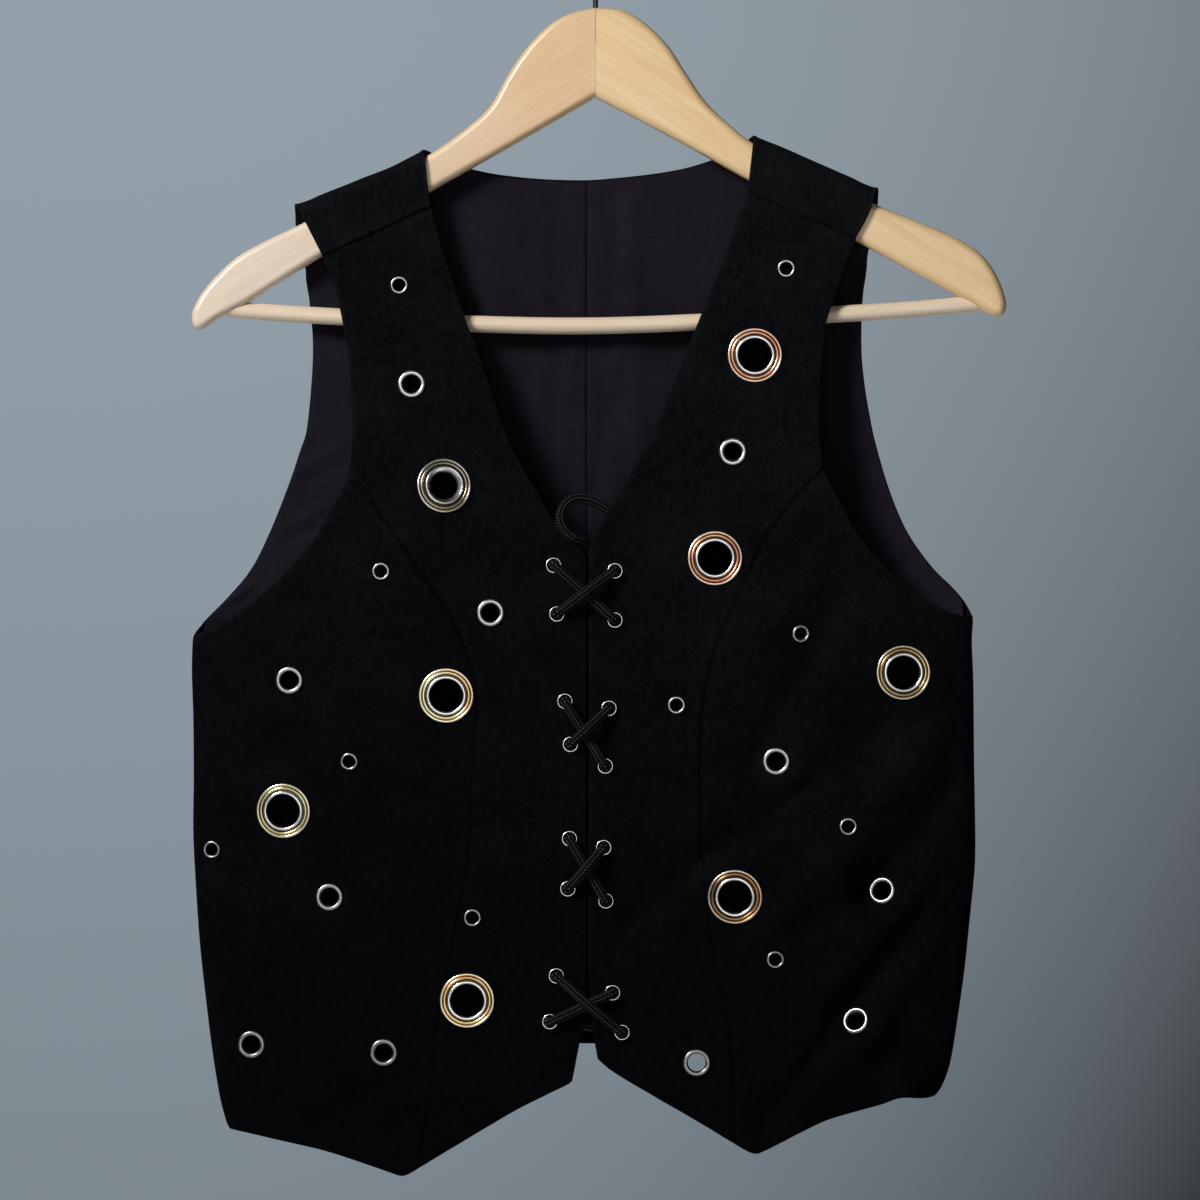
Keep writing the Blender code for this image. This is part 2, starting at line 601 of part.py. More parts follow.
for x in np.concatenate([np.arange(-158, -95, 14.0), np.arange(90, 150, 14.0)]):
    t = float(fold_top(x))
    for f in (0.02, 0.2, 0.36, 0.5, 0.64, 0.8, 0.98):
        roll_rows.append((x, t + ROLL_Z - ROLL_LEN * f))
back_extra = side_rows(L_SIDE, BACK_FRAC, 345) + side_rows(R_SIDE, BACK_FRAC, 335) + roll_rows
cloth("back_panel", back_outline, back_point, back_normal, DENIM, BACK_STEP, (), back_extra)


# ------------------------------------------------------------- lining
def lining_outline(sign):
    side, arm = (L_SIDE, LB_ARM) if sign < 0 else (R_SIDE, RB_ARM)
    arm_d = arm[0][1]
    pts = []
    cb = -5.6
    neck = [(x, d + 1.2) for x, d in resample(BACK_NECK, 17)]
    neck = [p for p in neck if (p[0] < cb - 6 if sign < 0 else p[0] > cb + 6)]
    cb_top = float(np.interp(cb, [p[0] for p in BACK_NECK], [p[1] for p in BACK_NECK])) + 1.2
    hem = [(x, d - 12) for x, d in resample(BACK_HEM, 24)]
    hem = [p for p in hem if (p[0] < cb - 8 if sign < 0 else p[0] > cb + 8)]
    hem = [p for p in hem if abs(p[0]) < 172]
    cb_low = float(np.interp(cb, [p[0] for p in BACK_HEM], [p[1] for p in BACK_HEM])) - 12
    side_pts = [(-1 + (x + 1) * 0.93, d) for x, d in resample(side, 22) if arm_d + 22 < d < (585 if sign < 0 else 566)]
    arm_pts = [(x - sign * (1.0 + 12.0 * float(smooth((d - 275) / 50))), d) for x, d in resample(arm, 17)]
    arm_pts = [p for p in arm_pts if p[1] > 128 and abs(p[0] + 1) < abs(side[0][0] + 1) * 0.90]
    strap = [(-150, 114), (-128, 107), (-106, 98), (-90, 90)] if sign < 0 else [(140, 105), (120, 98), (100, 89.5), (86, 84.5)]
    loop = [(cb, cb_low)] + (hem[::-1] if sign < 0 else hem)
    loop += side_pts[::-1] + arm_pts + strap
    loop += (neck if sign < 0 else neck[::-1]) + [(cb, cb_top)]
    n = 16
    for k in range(1, n):
        loop.append((cb, cb_top + (cb_low - cb_top) * k / n))
    return np.array(loop)


def lining_rows(sign):
    side = L_SIDE if sign < 0 else R_SIDE
    return side_rows(side, (0.91,), 350)


for name, sign in (("lining_left", -1), ("lining_right", 1)):
    cloth(name, lining_outline(sign), lining_point, back_normal, LINING, BACK_STEP, (), lining_rows(sign))


# ------------------------------------------------------------- eyelets
def spun(name, pad, kind):
    ex, ed, y0, gx, gd = pad[:5]
    n = np.array([gx, -1.0, gd])
    n /= np.linalg.norm(n)
    u = np.cross(n, [0, 0, 1.0])
    u /= np.linalg.norm(u)
    v = np.cross(n, u)
    prof_pts, seg = PROFILE[kind], SEGMENTS[kind]
    verts, faces = [], []
    c = np.array([ex, y0, ed])
    for k in range(seg):
        a = 2 * math.pi * k / seg
        d = u * math.cos(a) + v * math.sin(a)
        for r, h in prof_pts:
            verts.append(world(c + d * r + n * h))
    m = len(prof_pts)
    for k in range(seg):
        for j in range(m):
            a, b = k * m + j, k * m + (j + 1) % m
            c2, d2 = ((k + 1) % seg) * m + (j + 1) % m, ((k + 1) % seg) * m + j
            faces.append((a, b, c2, d2))
    return add_mesh(name, verts, faces)


for i, (ex, ed, kind) in enumerate(EYELETS):
    spun("eyelet_%02d" % (i + 1), PADS[i], kind)
ROWS = "abcdefgh"
lace_pad = {}
for i in range(8):
    lace_pad["L" + ROWS[i]] = PADS[len(EYELETS) + i]
    lace_pad["R" + ROWS[i]] = PADS[len(EYELETS) + 8 + i]
for key, pad in lace_pad.items():
    spun("lace_eyelet_%s_%s" % ("left" if key[0] == "L" else "right", key[1]), pad, "lace")


# ------------------------------------------------------------- lace
def pad_frame(pad):
    n = np.array([pad[3], -1.0, pad[4]])
    n /= np.linalg.norm(n)
    return np.array([pad[0], pad[2], pad[1]]), n


def surface(x, d, h):
    p = front_point(np.array([float(x)]), np.array([float(d)]))[0]
    n = front_normal(np.array([float(x)]), np.array([float(d)]))[0] * np.array([1, 1, -1.0])
    n = np.array([n[0], n[1], -n[2]])
    return np.array([p[0], p[1], p[2]]) + np.array([n[0], n[1], -n[2]]) * h


def cross_point(a, b, c, d):
    r, s = b - a, d - c
    t = ((c - a)[0] * s[1] - (c - a)[1] * s[0]) / (r[0] * s[1] - r[1] * s[0])
    return a + t * r


def lace_path():
    pts = []
    # free end, curled over the left neck edge and back behind the right one: x, y, drop
    for p in [(16, -14.0, 279), (11.5, -14.4, 275.6), (6.6, -15.0, 272.4), (1.4, -16.0, 269.2), (-4.2, -17.2, 266.9),
              (-9.8, -18.8, 266.1), (-14.8, -20.8, 267.4), (-18.2, -22.8, 271), (-19.7, -24.4, 275.6),
              (-18.9, -25.3, 280.2), (-16.4, -25.6, 284.2), (-12.3, -24.8, 287.4), (-8.2, -21.4, 288.8),
              (-6.2, -18.0, 290.7), (-4.2, -15.6, 293.6), (-1.0, -14.8, 297.6), (3.6, -15.0, 301.8)]:
        pts.append(np.array(p, float))
    order = ["Ra", "Lb", "Lc", "Rd", "Re", "Lf", "Lg", "Rh", "Lh", "Rg", "Rf", "Le", "Ld", "Rc", "Rb", "La"]
    over = {("Ra", "Lb"), ("Ld", "Rc"), ("Re", "Lf"), ("Lg", "Rh")}
    pairs = {"a": "b", "c": "d", "e": "f", "g": "h"}
    for i, key in enumerate(order):
        c, n = pad_frame(lace_pad[key])
        outward = i % 2 == 0          # this eyelet is left towards the outside
        if outward:
            nxt = order[i + 1]
            c2, n2 = pad_frame(lace_pad[nxt])
            run = c2 - c
            run = run / np.linalg.norm(run)
            lo = min(key[1], nxt[1])
            a, b = lace_pad["L" + lo], lace_pad["R" + pairs[lo]]
            e, f = lace_pad["R" + lo], lace_pad["L" + pairs[lo]]
            hit = cross_point(np.array([a[0], a[1]]), np.array([b[0], b[1]]), np.array([e[0], e[1]]),
                              np.array([f[0], f[1]]))
            top = (key, nxt) in over or (nxt, key) in over
            mid = surface(hit[0], hit[1], 0.0)
            mid = mid + (n + n2) / 2 * (10.2 if top else 4.0)
            pts += [c - n * 4.3, c + n * 4.0, c + n * 5.2 + run * 5.2, mid, c2 + n2 * 5.2 - run * 5.2,
                    c2 + n2 * 4.0, c2 - n2 * 4.3]
    c, n = pad_frame(lace_pad["La"])
    for x, d in ((-34, 312), (-40, 330)):
        pts.append(surface(x, d, -4.6))
    return pts


def lace():
    cu = bpy.data.curves.new("lace", "CURVE")
    cu.dimensions = "3D"
    cu.bevel_depth = LACE_R * 0.001
    cu.bevel_resolution = 2
    cu.use_fill_caps = True
    cu.resolution_u = 1
    cu.render_resolution_u = 0
    path = lace_path()
    sp = cu.splines.new("POLY")
    sp.points.add(len(path) - 1)
    for q, p in zip(sp.points, path):
        w = world(p)
        q.co = (w[0], w[1], w[2], 1.0)
    ob = bpy.data.objects.new("lace", cu)
    bpy.context.scene.collection.objects.link(ob)
    return ob


lace()

# ------------------------------------------------------------- hanger
# columns: x, drop, rounding weight
ARM_L = [(CX - 0.15, 0.0, 0.8), (-12, 2.2, 1), (-24, 8, 1), (-37, 20.5, 1), (-48, 36, 1), (-58, 53.5, 1), (-71, 65.5, 1),
         (-90, 79.0, 1), (-125, 98.4, 1), (-159, 116.5, 1), (-179, 126, 1), (-195, 135, 1), (-207, 146, 1), (-215, 156, 1),
         (-219.6, 168, 1), (-218.4, 173.4, 0.6), (-214, 174, 0.5), (-205, 168, 0.5), (-190, 160, 0.5), (-158, 140, 0.5),
         (-91, 100, 0.5), (-45, 74, 0.5), (CX - 0.15, 48.5, 0.5)]
ARM_R = [(CX + 0.15, 0.0, 0.8), (13, 1.2, 1), (25, 7.5, 1), (38, 20, 1), (48, 35, 1), (59, 51, 1), (72, 63.5, 1),
         (84, 73.0, 1), (118, 90.4, 1), (152, 107.0, 1), (174, 116, 1), (193, 124, 1), (208, 133.5, 1), (217, 146, 1),
         (221.8, 161, 1), (220, 166.6, 0.6), (214, 167, 0.5), (199, 158, 0.5), (149, 131, 0.5), (83, 94, 0.5),
         (42, 71, 0.5), (CX + 0.15, 48.5, 0.5)]


def arm(name, table):
    poly = np.array([(r[0], r[1]) for r in table], float)
    wt = np.array([r[2] for r in table])
    flip = area2(poly) < 0
    e = np.roll(poly, -1, 0) - poly
    n = np.stack([e[:, 1], -e[:, 0]], 1)
    n = n / np.linalg.norm(n, axis=1, keepdims=True)
    if flip:
        n = -n
    # the butt joint edge keeps its plane
    last = len(poly) - 1
    v = np.roll(n, 1, 0) + n
    v = v / np.linalg.norm(v, axis=1, keepdims=True)
    for i, k in ((0, 0), (last, last)):
        v[i] = n[0] if i == 0 else n[last - 1]
        v[i][0] = 0.0
        v[i] /= abs(v[i][1])
    layers = [(-6.8, 5.0), (-5.4, 1.5), (-2.0, 0.0), (2.0, 0.0), (5.4, 1.5), (6.8, 5.0)]
    verts = []
    for y, ins in layers:
        for p, d, w in zip(poly, v, wt):
            q = p - d * ins * w
            verts.append(world((q[0], y, q[1])))
    m = len(poly)
    faces = [tuple(range(m))[::-1], tuple((len(layers) - 1) * m + i for i in range(m))]
    for l in range(len(layers) - 1):
        for i in range(m):
            a, b = l * m + i, l * m + (i + 1) % m
            faces.append((a, b, b + m, a + m))
    return add_mesh(name, verts, faces)


arm_left = arm("hanger_arm_left", ARM_L)
arm_right = arm("hanger_arm_right", ARM_R)

BAR = [(-204, 161.8), (-190, 164), (-138, 167.4), (-71, 171), (-7, 172.2), (55, 170.2), (124, 166.2), (170, 163.4),
       (200, 160.8), (211, 159.6)]
bar_path = [(x, 0.0, d) for x, d in resample(BAR, 52)]
tube("hanger_bar", bar_path, 4.6, 12)
a0, a1 = np.array(bar_path[0]), np.array(bar_path[1])
b0, b1 = np.array(bar_path[-1]), np.array(bar_path[-2])
ext0 = a0 + (a0 - a1) / np.linalg.norm(a0 - a1) * 0.5
ext1 = b0 + (b0 - b1) / np.linalg.norm(b0 - b1) * 0.5
socket_l = tube("cut_socket_left", [ext0, a0, a1], 4.95, 12)
socket_r = tube("cut_socket_right", [ext1, b0, b1], 4.95, 12)
drill = tube("cut_drill", [(CX, 0.0, -12.0), (CX, 0.0, 19.0)], 1.8, 12)
for ob, cutter in ((arm_left, socket_l), (arm_left, drill), (arm_right, socket_r), (arm_right, drill)):
    cut_with(ob, cutter)

# hook: stem, neck and open loop of one wire
WIRE, LOOP = 1.4, 18.5
hook = [(CX, 0.0, 18.4), (CX, 0.0, 8.0), (CX, 0.0, -12.0)]
zc = -TOP - WIRE + LOOP          # drop of the loop centre
start = math.radians(-58)
p3 = np.array([CX + LOOP * math.cos(start), zc - LOOP * math.sin(start)])
p0 = np.array([CX, zc + LOOP + 18.0])
t3 = np.array([math.sin(-start), -math.cos(start)])
p1 = p0 + np.array([0, -9.0])
p2 = p3 - np.array([math.sin(-start), -math.cos(start)]) * 9.0
for k in range(5):
    t = k / 5
    q = (1 - t)**3 * p0 + 3 * (1 - t)**2 * t * p1 + 3 * (1 - t) * t * t * p2 + t**3 * p3
    hook.append((q[0], 0.0, q[1]))
for k in range(16):
    a = math.radians(-58 + (205 + 58) * k / 15)
    hook.append((CX + LOOP * math.cos(a), 0.0, zc - LOOP * math.sin(a)))
tube("hook", hook, WIRE, 8)
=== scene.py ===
"""Black denim laced vest on a wooden hanger: the finished look.

The cloth is cut as flat pattern pieces (x to the right, w down the cloth, in
millimetres) that are laid on the form of the hanging vest.  The inside top of
the hook is the origin, TOP millimetres above the top of the wood.
"""
import math

import bmesh
import bpy
import numpy as np
from mathutils import Matrix, Vector, noise

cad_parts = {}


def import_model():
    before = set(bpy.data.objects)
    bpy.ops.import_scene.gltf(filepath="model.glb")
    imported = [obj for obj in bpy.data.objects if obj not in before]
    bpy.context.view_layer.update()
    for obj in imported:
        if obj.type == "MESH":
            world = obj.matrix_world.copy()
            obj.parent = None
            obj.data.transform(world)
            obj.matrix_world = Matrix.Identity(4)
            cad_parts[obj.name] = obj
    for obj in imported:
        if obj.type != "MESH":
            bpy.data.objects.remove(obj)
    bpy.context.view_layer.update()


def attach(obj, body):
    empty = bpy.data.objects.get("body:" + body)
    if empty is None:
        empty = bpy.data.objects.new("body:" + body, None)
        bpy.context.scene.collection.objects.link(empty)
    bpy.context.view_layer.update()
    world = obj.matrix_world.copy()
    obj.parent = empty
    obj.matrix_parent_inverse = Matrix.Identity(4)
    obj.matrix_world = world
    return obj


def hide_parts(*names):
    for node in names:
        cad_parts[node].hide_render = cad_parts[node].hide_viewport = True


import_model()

TOP = 72.0          # hook down to the top of the wood
CX = -0.8           # centre line of the hanger
H_FRONT = 8.6       # cloth in front of the hanger
H_BACK = 9.6        # cloth behind it
DENIM = 1.4         # wall of the shell cloth
LINING = 0.7        # wall of the lining cloth
MIDDLE = -1.0       # centre line of the vest
CB = -5.6           # centre back seam of the lining
SEAM_Y = 0.25       # front and back stop this far from the middle plane at the side seams
ARMPIT = (337.2, 326.8)     # drop at which the side seams start, left and right
HEM_TURN = 11.0     # width of the turned edges
BOARD = 13.4        # thickness of the hanger's arms
COLUMNS = 7         # plaited columns round the lace
STITCH = 0.00135    # metres of one stitch of the plait
MM = 0.001          # a millimetre in metres


def world(p):
    return Vector(((p[0] - CX) * MM, p[1] * MM, -(TOP + p[2]) * MM))


# ---- camera
cam_data = bpy.data.cameras.new("camera")
cam_data.sensor_width = 36.0
cam_data.lens = 200.0
cam = bpy.data.objects.new("camera", cam_data)
cam.location = (0.00243, -3.614, -0.3928)
cam.rotation_euler = (math.pi / 2, 0.0, 0.0)
bpy.context.scene.collection.objects.link(cam)
bpy.context.scene.camera = cam

# ---- pattern edges
# columns: x, drop below the top of the wood
L_NECK = [
    (-90.2, 108), (-84.2, 130.7), (-72.4, 165.8), (-62, 195), (-51.3, 226.8), (-40, 250.6), (-31.9, 264),
    (-25.4, 276), (-18.4, 283), (-9.2, 293), (-6.2, 298),
]
L_CF = [
    (-6.2, 298), (-6, 380), (-6, 460), (-6.2, 529), (-8.4, 552), (-13.5, 580),
]
L_HEM_C = [
    (-13.5, 580), (-15.7, 581.8), (-43.2, 595.5), (-71.8, 612.4), (-96.7, 627.4),
]
L_HEM_S = [
    (-96.7, 627.4), (-101, 630.2), (-105.3, 631.6), (-110.7, 630), (-124.2, 625.3), (-144.2, 618.8), (-170, 612.8),
    (-199.6, 606.6),
]
L_PRINCESS = [
    (-134.5, 256), (-124.2, 265), (-115, 277), (-107, 288.4), (-95.6, 304.6), (-81, 326), (-70.2, 348),
    (-64.5, 370), (-65.2, 390), (-67.4, 423.4), (-69.1, 461.2), (-73.4, 484), (-79, 513), (-85.9, 548.1),
    (-88.6, 574), (-91.3, 596.2), (-96.7, 627.4),
]
L_SIDE = [
    (-218.7, 340.2), (-219.2, 358.6), (-218.4, 385.6), (-218.2, 418), (-218.4, 447), (-217, 475.7), (-214.8, 507.6),
    (-211, 542), (-207.6, 568.6), (-203.6, 592), (-199.6, 606.6),
]
L_ARM_U = [
    (-148.5, 134.5), (-142.6, 148.5), (-138.4, 165), (-134.4, 188), (-132.8, 208), (-132.3, 234), (-134.5, 256),
]
L_ARM_L = [
    (-134.5, 256), (-138.2, 263), (-142, 269.5), (-147.4, 279), (-154, 290), (-163.6, 301.5), (-178.7, 316),
    (-194.4, 328), (-206.8, 335.6), (-218.7, 340.2),
]
R_NECK = [
    (81.5, 99.9), (76, 115), (69, 134), (56.7, 166), (41, 204), (30.2, 228.4), (15, 257.5), (7, 271), (0.5, 282),
    (-4.2, 292),
]
R_CF = [
    (-4.2, 292), (-4.3, 380), (-4.3, 460), (-4.1, 529), (-2.4, 550), (0.5, 568),
]
R_HEM_C = [
    (0.5, 568), (8, 574.6), (31.3, 588.6), (54.5, 602), (74.5, 614.2),
]
R_HEM_S = [
    (74.5, 614.2), (82, 618.6), (86.5, 619.6), (96.7, 615), (110, 608), (125.3, 601), (152.8, 593.6), (164, 589.6),
    (177, 590), (183.8, 588.8),
]
R_PRINCESS = [
    (121.5, 250), (114, 257.6), (101.5, 272), (90.4, 288), (83.6, 301), (75.6, 320), (66, 340), (59.8, 360),
    (56.4, 381), (55.4, 404), (55.4, 440), (57.2, 466), (60, 492), (63, 513), (70, 544), (72.6, 572), (74.5, 614.2),
]
R_SIDE = [
    (203.6, 329.8), (202.8, 343), (203.6, 366), (204, 407.7), (204.7, 451.4), (204.2, 468), (201.8, 492),
    (198.8, 521), (195, 548), (191.4, 570), (188, 581), (183.8, 588.8),
]
R_ARM_U = [
    (139.9, 125), (132.3, 144.2), (127, 160), (123.2, 173), (121.2, 188), (120.2, 206), (119.6, 230), (121.5, 250),
]
R_ARM_L = [
    (121.5, 250), (128, 263), (132.3, 271), (138.2, 282), (151.2, 299), (167.4, 314), (184.7, 324.5), (194, 328.6),
    (203.6, 329.8),
]
# back armholes, read upward from the armpit
LB_ARM = [
    (-218.7, 340.2), (-213.3, 332.6), (-202.5, 321.4), (-191.2, 308.6), (-184, 297), (-175, 277), (-166.3, 254.3),
    (-161.5, 239.8), (-158.2, 230), (-155.5, 206.3), (-154.4, 182), (-156, 161.5), (-158.4, 141), (-161.6, 127),
]
RB_ARM = [
    (203.6, 329.8), (199.8, 322.4), (193.3, 314.4), (182, 303), (168.5, 283.5), (158.8, 260.3), (151.2, 234.4),
    (148.4, 221), (145.8, 206), (143.8, 186), (144.2, 160), (147, 134), (150.4, 117),
]
BACK_NECK = [
    (-76, 84.4), (-65, 87.4), (-52, 89.8), (-33, 91.8), (-15, 92.6), (0, 92.4), (28, 89.6), (46, 86.6), (60, 82.6),
    (70, 78.8),
]
BACK_HEM = [
    (-199.6, 606.6), (-170, 594), (-130, 578), (-80, 567), (-30, 562.6), (10, 562.4), (60, 564), (110, 569),
    (150, 577), (183.8, 588.8),
]
# top fold of the shoulders
FOLD_TOP = [
    (-230, 118), (-164, 107), (-146, 100.4), (-128, 93.2), (-110, 86), (-98, 79.6), (-93, 77), (-85, 73.4),
    (-74, 71), (-50, 69.5), (0, 68), (50, 66.5), (70, 66.5), (80, 68.4), (85, 69.8), (97, 74.6), (118, 83.8),
    (134, 90.8), (152, 98), (230, 110),
]

# soft folds: x0, drop0, x1, drop1, height (+ out of the cloth), half width
FRONT_FOLDS = [
    (-168, 398, -112, 428, -4.2, 16), (-112, 428, -66, 444, -3.2, 14), (-158, 426, -100, 462, 2.6, 12),
    (-112, 314, -66, 338, -1.6, 7), (-66, 338, -36, 366, -1.4, 6), (-140, 500, -120, 560, 1.8, 16),
    (128, 322, 88, 408, -3.0, 10), (150, 396, 66, 456, -4.6, 11), (66, 456, 20, 492, -3.4, 11),
    (184, 392, 128, 462, 3.8, 10), (128, 462, 84, 500, 3.0, 11), (194, 418, 150, 478, -4.6, 9),
    (150, 478, 110, 500, -3.0, 10), (180, 468, 128, 528, 4.2, 11), (172, 492, 140, 534, -5.0, 8),
    (140, 534, 92, 604, -4.4, 8), (186, 500, 152, 548, 3.2, 8), (150, 548, 108, 596, 2.6, 8),
]
BACK_FOLDS = [
    (-150, 420, -60, 470, 2.2, 20), (140, 400, 50, 462, 2.2, 20), (-165, 458, -90, 510, -2.0, 19),
    (168, 444, 80, 504, -2.0, 19), (-28, 110, -34, 240, 1.4, 18), (22, 110, 12, 230, -1.4, 18),
]
# sharper creases that lie on the soft folds
FRONT_CREASES = [
    (-74, 351, -58, 356, -0.9, 2.6), (-56, 357, -46, 363, -0.7, 2.2), (-120, 292, -108, 318, 0.5, 4.0),
    (-184, 348, -150, 344, -0.6, 3.5), (-200, 372, -178, 396, 0.6, 5.0), (57, 381.5, 66, 378.5, -0.9, 1.6),
    (-96, 330, -70, 352, 0.7, 4.0), (178, 352, 150, 384, 0.6, 5.0), (196, 470, 176, 498, 0.8, 3.4),
    (188, 486, 164, 522, -1.0, 3.2), (164, 530, 138, 570, 0.9, 3.6), (122, 546, 98, 590, 0.8, 3.8),
    (108, 500, 84, 528, -0.6, 4.2), (-60, 500, -30, 512, 0.4, 4.0), (-150, 520, -128, 584, -0.7, 5.0),
    (-186, 500, -176, 548, 0.6, 5.0), (-104, 590, -96, 622, 0.6, 4.0), (30, 520, 22, 560, 0.5, 4.5),
    (-44, 400, -30, 460, 0.4, 5.0), (24, 340, 34, 420, 0.4, 5.0), (78, 150, 96, 180, 0.35, 5.0),
    (-118, 150, -100, 190, 0.35, 5.0),
]
BACK_CREASES = [
    (-186, 360, -140, 392, 0.8, 6.0), (176, 352, 132, 388, 0.8, 6.0), (-150, 340, -110, 372, -0.7, 6.0),
    (146, 330, 104, 366, -0.7, 6.0), (-60, 470, -20, 486, 0.7, 6.0), (50, 462, 12, 480, 0.7, 6.0),
    (-120, 524, -80, 560, 0.6, 6.0), (118, 518, 84, 556, 0.6, 6.0), (-10, 130, -8, 300, 0.4, 7.0),
    (-70, 120, -90, 210, 0.5, 8.0), (66, 116, 84, 204, 0.5, 8.0), (-190, 480, -168, 560, 0.6, 6.0),
    (176, 476, 158, 552, 0.6, 6.0),
]
LINING_CREASES = [
    (-29, 100, -31, 262, 0.9, 5.0), (11, 104, 0, 262, -0.8, 4.6), (18, 106, 22, 250, 0.8, 5.0),
    (-52, 110, -66, 230, 0.5, 6.0), (44, 104, 58, 220, 0.5, 6.0), (-200, 329, -180, 352, 0.5, 2.4),
    (-190, 321, -168, 346, -0.5, 2.2), (-180, 311, -160, 336, 0.5, 2.4), (-170, 300, -150, 318, -0.5, 2.4),
    (176, 311, 160, 334, 0.5, 2.4), (187, 318, 170, 344, -0.5, 2.2), (168, 301, 150, 320, -0.5, 2.4),
    (-162, 249.5, -139, 237, 0.9, 2.0), (-158, 256, -136, 246, -0.8, 2.4), (-173.4, 283, -146.6, 268.5, 0.9, 2.0),
    (-170, 290, -150, 280, -0.8, 2.2), (-197.8, 319.8, -188, 312.4, 0.9, 1.8), (-158, 196, -136, 206, 0.6, 3.0),
    (150, 232, 132, 244, 0.8, 2.2), (160, 268, 140, 284, -0.8, 2.4), (-46, 128, -12, 190, 0.7, 4.0),
    (40, 122, 8, 196, 0.7, 4.0), (-10, 150, -20, 262, 0.6, 3.4), (30, 140, 4, 236, -0.6, 3.6),
]

# eyelets: x, drop
EYELETS = [(x, d, kind) for kind, places in {
    "large": [(-82.6, 259.2), (-81.2, 372.1), (-169.0, 434.4), (-70.0, 536.6), (85.3, 188.5), (63.6, 298.3),
              (165.2, 359.9), (74.4, 480.6)],
    "medium": [(-100.2, 204.1), (-57.4, 327.6), (-165.9, 364.0), (-144.2, 480.9), (-186.6, 560.8), (-115.0, 564.6),
               (73.3, 240.8), (96.7, 407.7), (154.3, 477.9), (140.0, 548.0), (53.8, 570.2)],
    "small": [(-107.0, 150.5), (-116.4, 305.3), (-133.6, 407.7), (-207.9, 455.6), (-67.1, 491.9), (102.3, 141.5),
              (109.5, 338.8), (42.8, 377.3), (135.5, 443.0), (96.1, 514.5)],
}.items() for x, d in places]
# lacing eyelets, a pair a row: x, drop, x, drop
LACING = [
    (-23.4, 302.1, 9.7, 305.1), (-21.6, 328.3, 9.7, 331.6), (-17.3, 375.3, 6.5, 379.1), (-14.3, 398.5, 4.5, 410.2),
    (-14.8, 449.3, 3.6, 454.1), (-15.7, 476.3, 4.7, 482.8), (-21.9, 523.3, 8.4, 532.4), (-25.4, 548, 13.5, 553.8),
]
LACE_R = 2.6
# radius of the hole in the cloth, and of the flat that the eyelet clamps
HOLE = {"large": 9.8, "medium": 5.6, "small": 3.9, "lace": 4.1}
FLANGE = {"large": 15.7, "medium": 8.5, "small": 5.8, "lace": 5.5}
ALL_EYELETS = EYELETS + [(r[0], r[1], "lace") for r in LACING] + [(r[2], r[3], "lace") for r in LACING]


# ---- curves
def smooth(t):
    t = np.clip(t, 0.0, 1.0)
    return t * t * (3 - 2 * t)


def near(gap, reach):
    """1 at an edge, down to 0 at reach from it."""
    return np.clip(1 - gap / reach, 0, 1)


def inward(q, width):
    """0 at the side seam, up to 1 at this share of the half width from it."""
    return np.clip((1 - q) / width, 0, 1)


def bell(x, middle, width):
    return np.exp(-((x - middle) / width) ** 2)


def dense(points, per=14):
    """A soft curve through the points, with no overshoot."""
    pts = [np.array(p, float) for p in points]
    pts = [2 * pts[0] - pts[1]] + pts + [2 * pts[-1] - pts[-2]]
    out = []
    for i in range(1, len(pts) - 2):
        p0, p1, p2, p3 = pts[i - 1:i + 3]
        cell = 2 * np.linalg.norm(p2 - p1)
        m1, m2 = (v * 0.5 * min(1.0, cell / (np.linalg.norm(v) + 1e-9)) for v in (p2 - p0, p3 - p1))
        for k in range(per):
            t = k / per
            out.append((2 * t**3 - 3 * t**2 + 1) * p1 + (t**3 - 2 * t**2 + t) * m1
                       + (-2 * t**3 + 3 * t**2) * p2 + (t**3 - t**2) * m2)
    out.append(pts[-2])
    return np.array(out)


def runs(d):
    return np.concatenate([[0], np.cumsum(np.linalg.norm(np.diff(d, axis=0), axis=1))])


def along(points, fracs):
    d = dense(points)
    seg = runs(d)
    s = np.asarray(fracs) * seg[-1]
    return np.stack([np.interp(s, seg, d[:, k]) for k in range(d.shape[1])], 1)


def even(points, step):
    d = dense(points)
    n = max(2, int(round(runs(d)[-1] / step)))
    return along(points, np.linspace(0, 1, n + 1))


def border(*parts):
    """Curves end to end, each as (points, cells, ease): ease above 0 crowds the start, below 0 the end."""
    out = []
    for i, (points, cells, ease) in enumerate(parts):
        t = np.linspace(0, 1, cells + 1)
        if ease > 0:
            t = t ** ease
        elif ease < 0:
            t = 1 - (1 - t) ** (-ease)
        run = along(points, t)
        out.append(run if i == len(parts) - 1 else run[:-1])
    return np.concatenate(out)


_sl, _sr = dense(L_SIDE), dense(R_SIDE)


# ---- form of the vest
def side_x(x, d):
    left = np.interp(d, _sl[:, 1], -_sl[:, 0])
    right = np.interp(d, _sr[:, 1], _sr[:, 0])
    return np.where(x < MIDDLE, left, right)


def across(x, d):
    """Share of the half width, 0 at the middle and 1 at the side seam."""
    return np.clip(np.abs(x - MIDDLE) / (side_x(x, d) + np.where(x < MIDDLE, MIDDLE, -MIDDLE)), 0.0, 1.0)


def crown(q, power=2.6):
    """Rounded section of one side of the vest."""
    return (1.0 - q ** power) ** (1 / power)


def folds(table, x, d):
    total = np.zeros_like(x)
    for x0, d0, x1, d1, a, w in table:
        vx, vd = x1 - x0, d1 - d0
        t = np.clip(((x - x0) * vx + (d - d0) * vd) / (vx * vx + vd * vd), 0, 1)
        r2 = (x - x0 - t * vx) ** 2 + (d - d0 - t * vd) ** 2
        total = total + a * np.exp(-r2 / (w * w))
    return total


def hold(d):
    """Hold of the hanger on the depth of the cloth, 1 at the shoulders and 0 below them."""
    return 1.0 - smooth((d - 190.0) / 130.0)


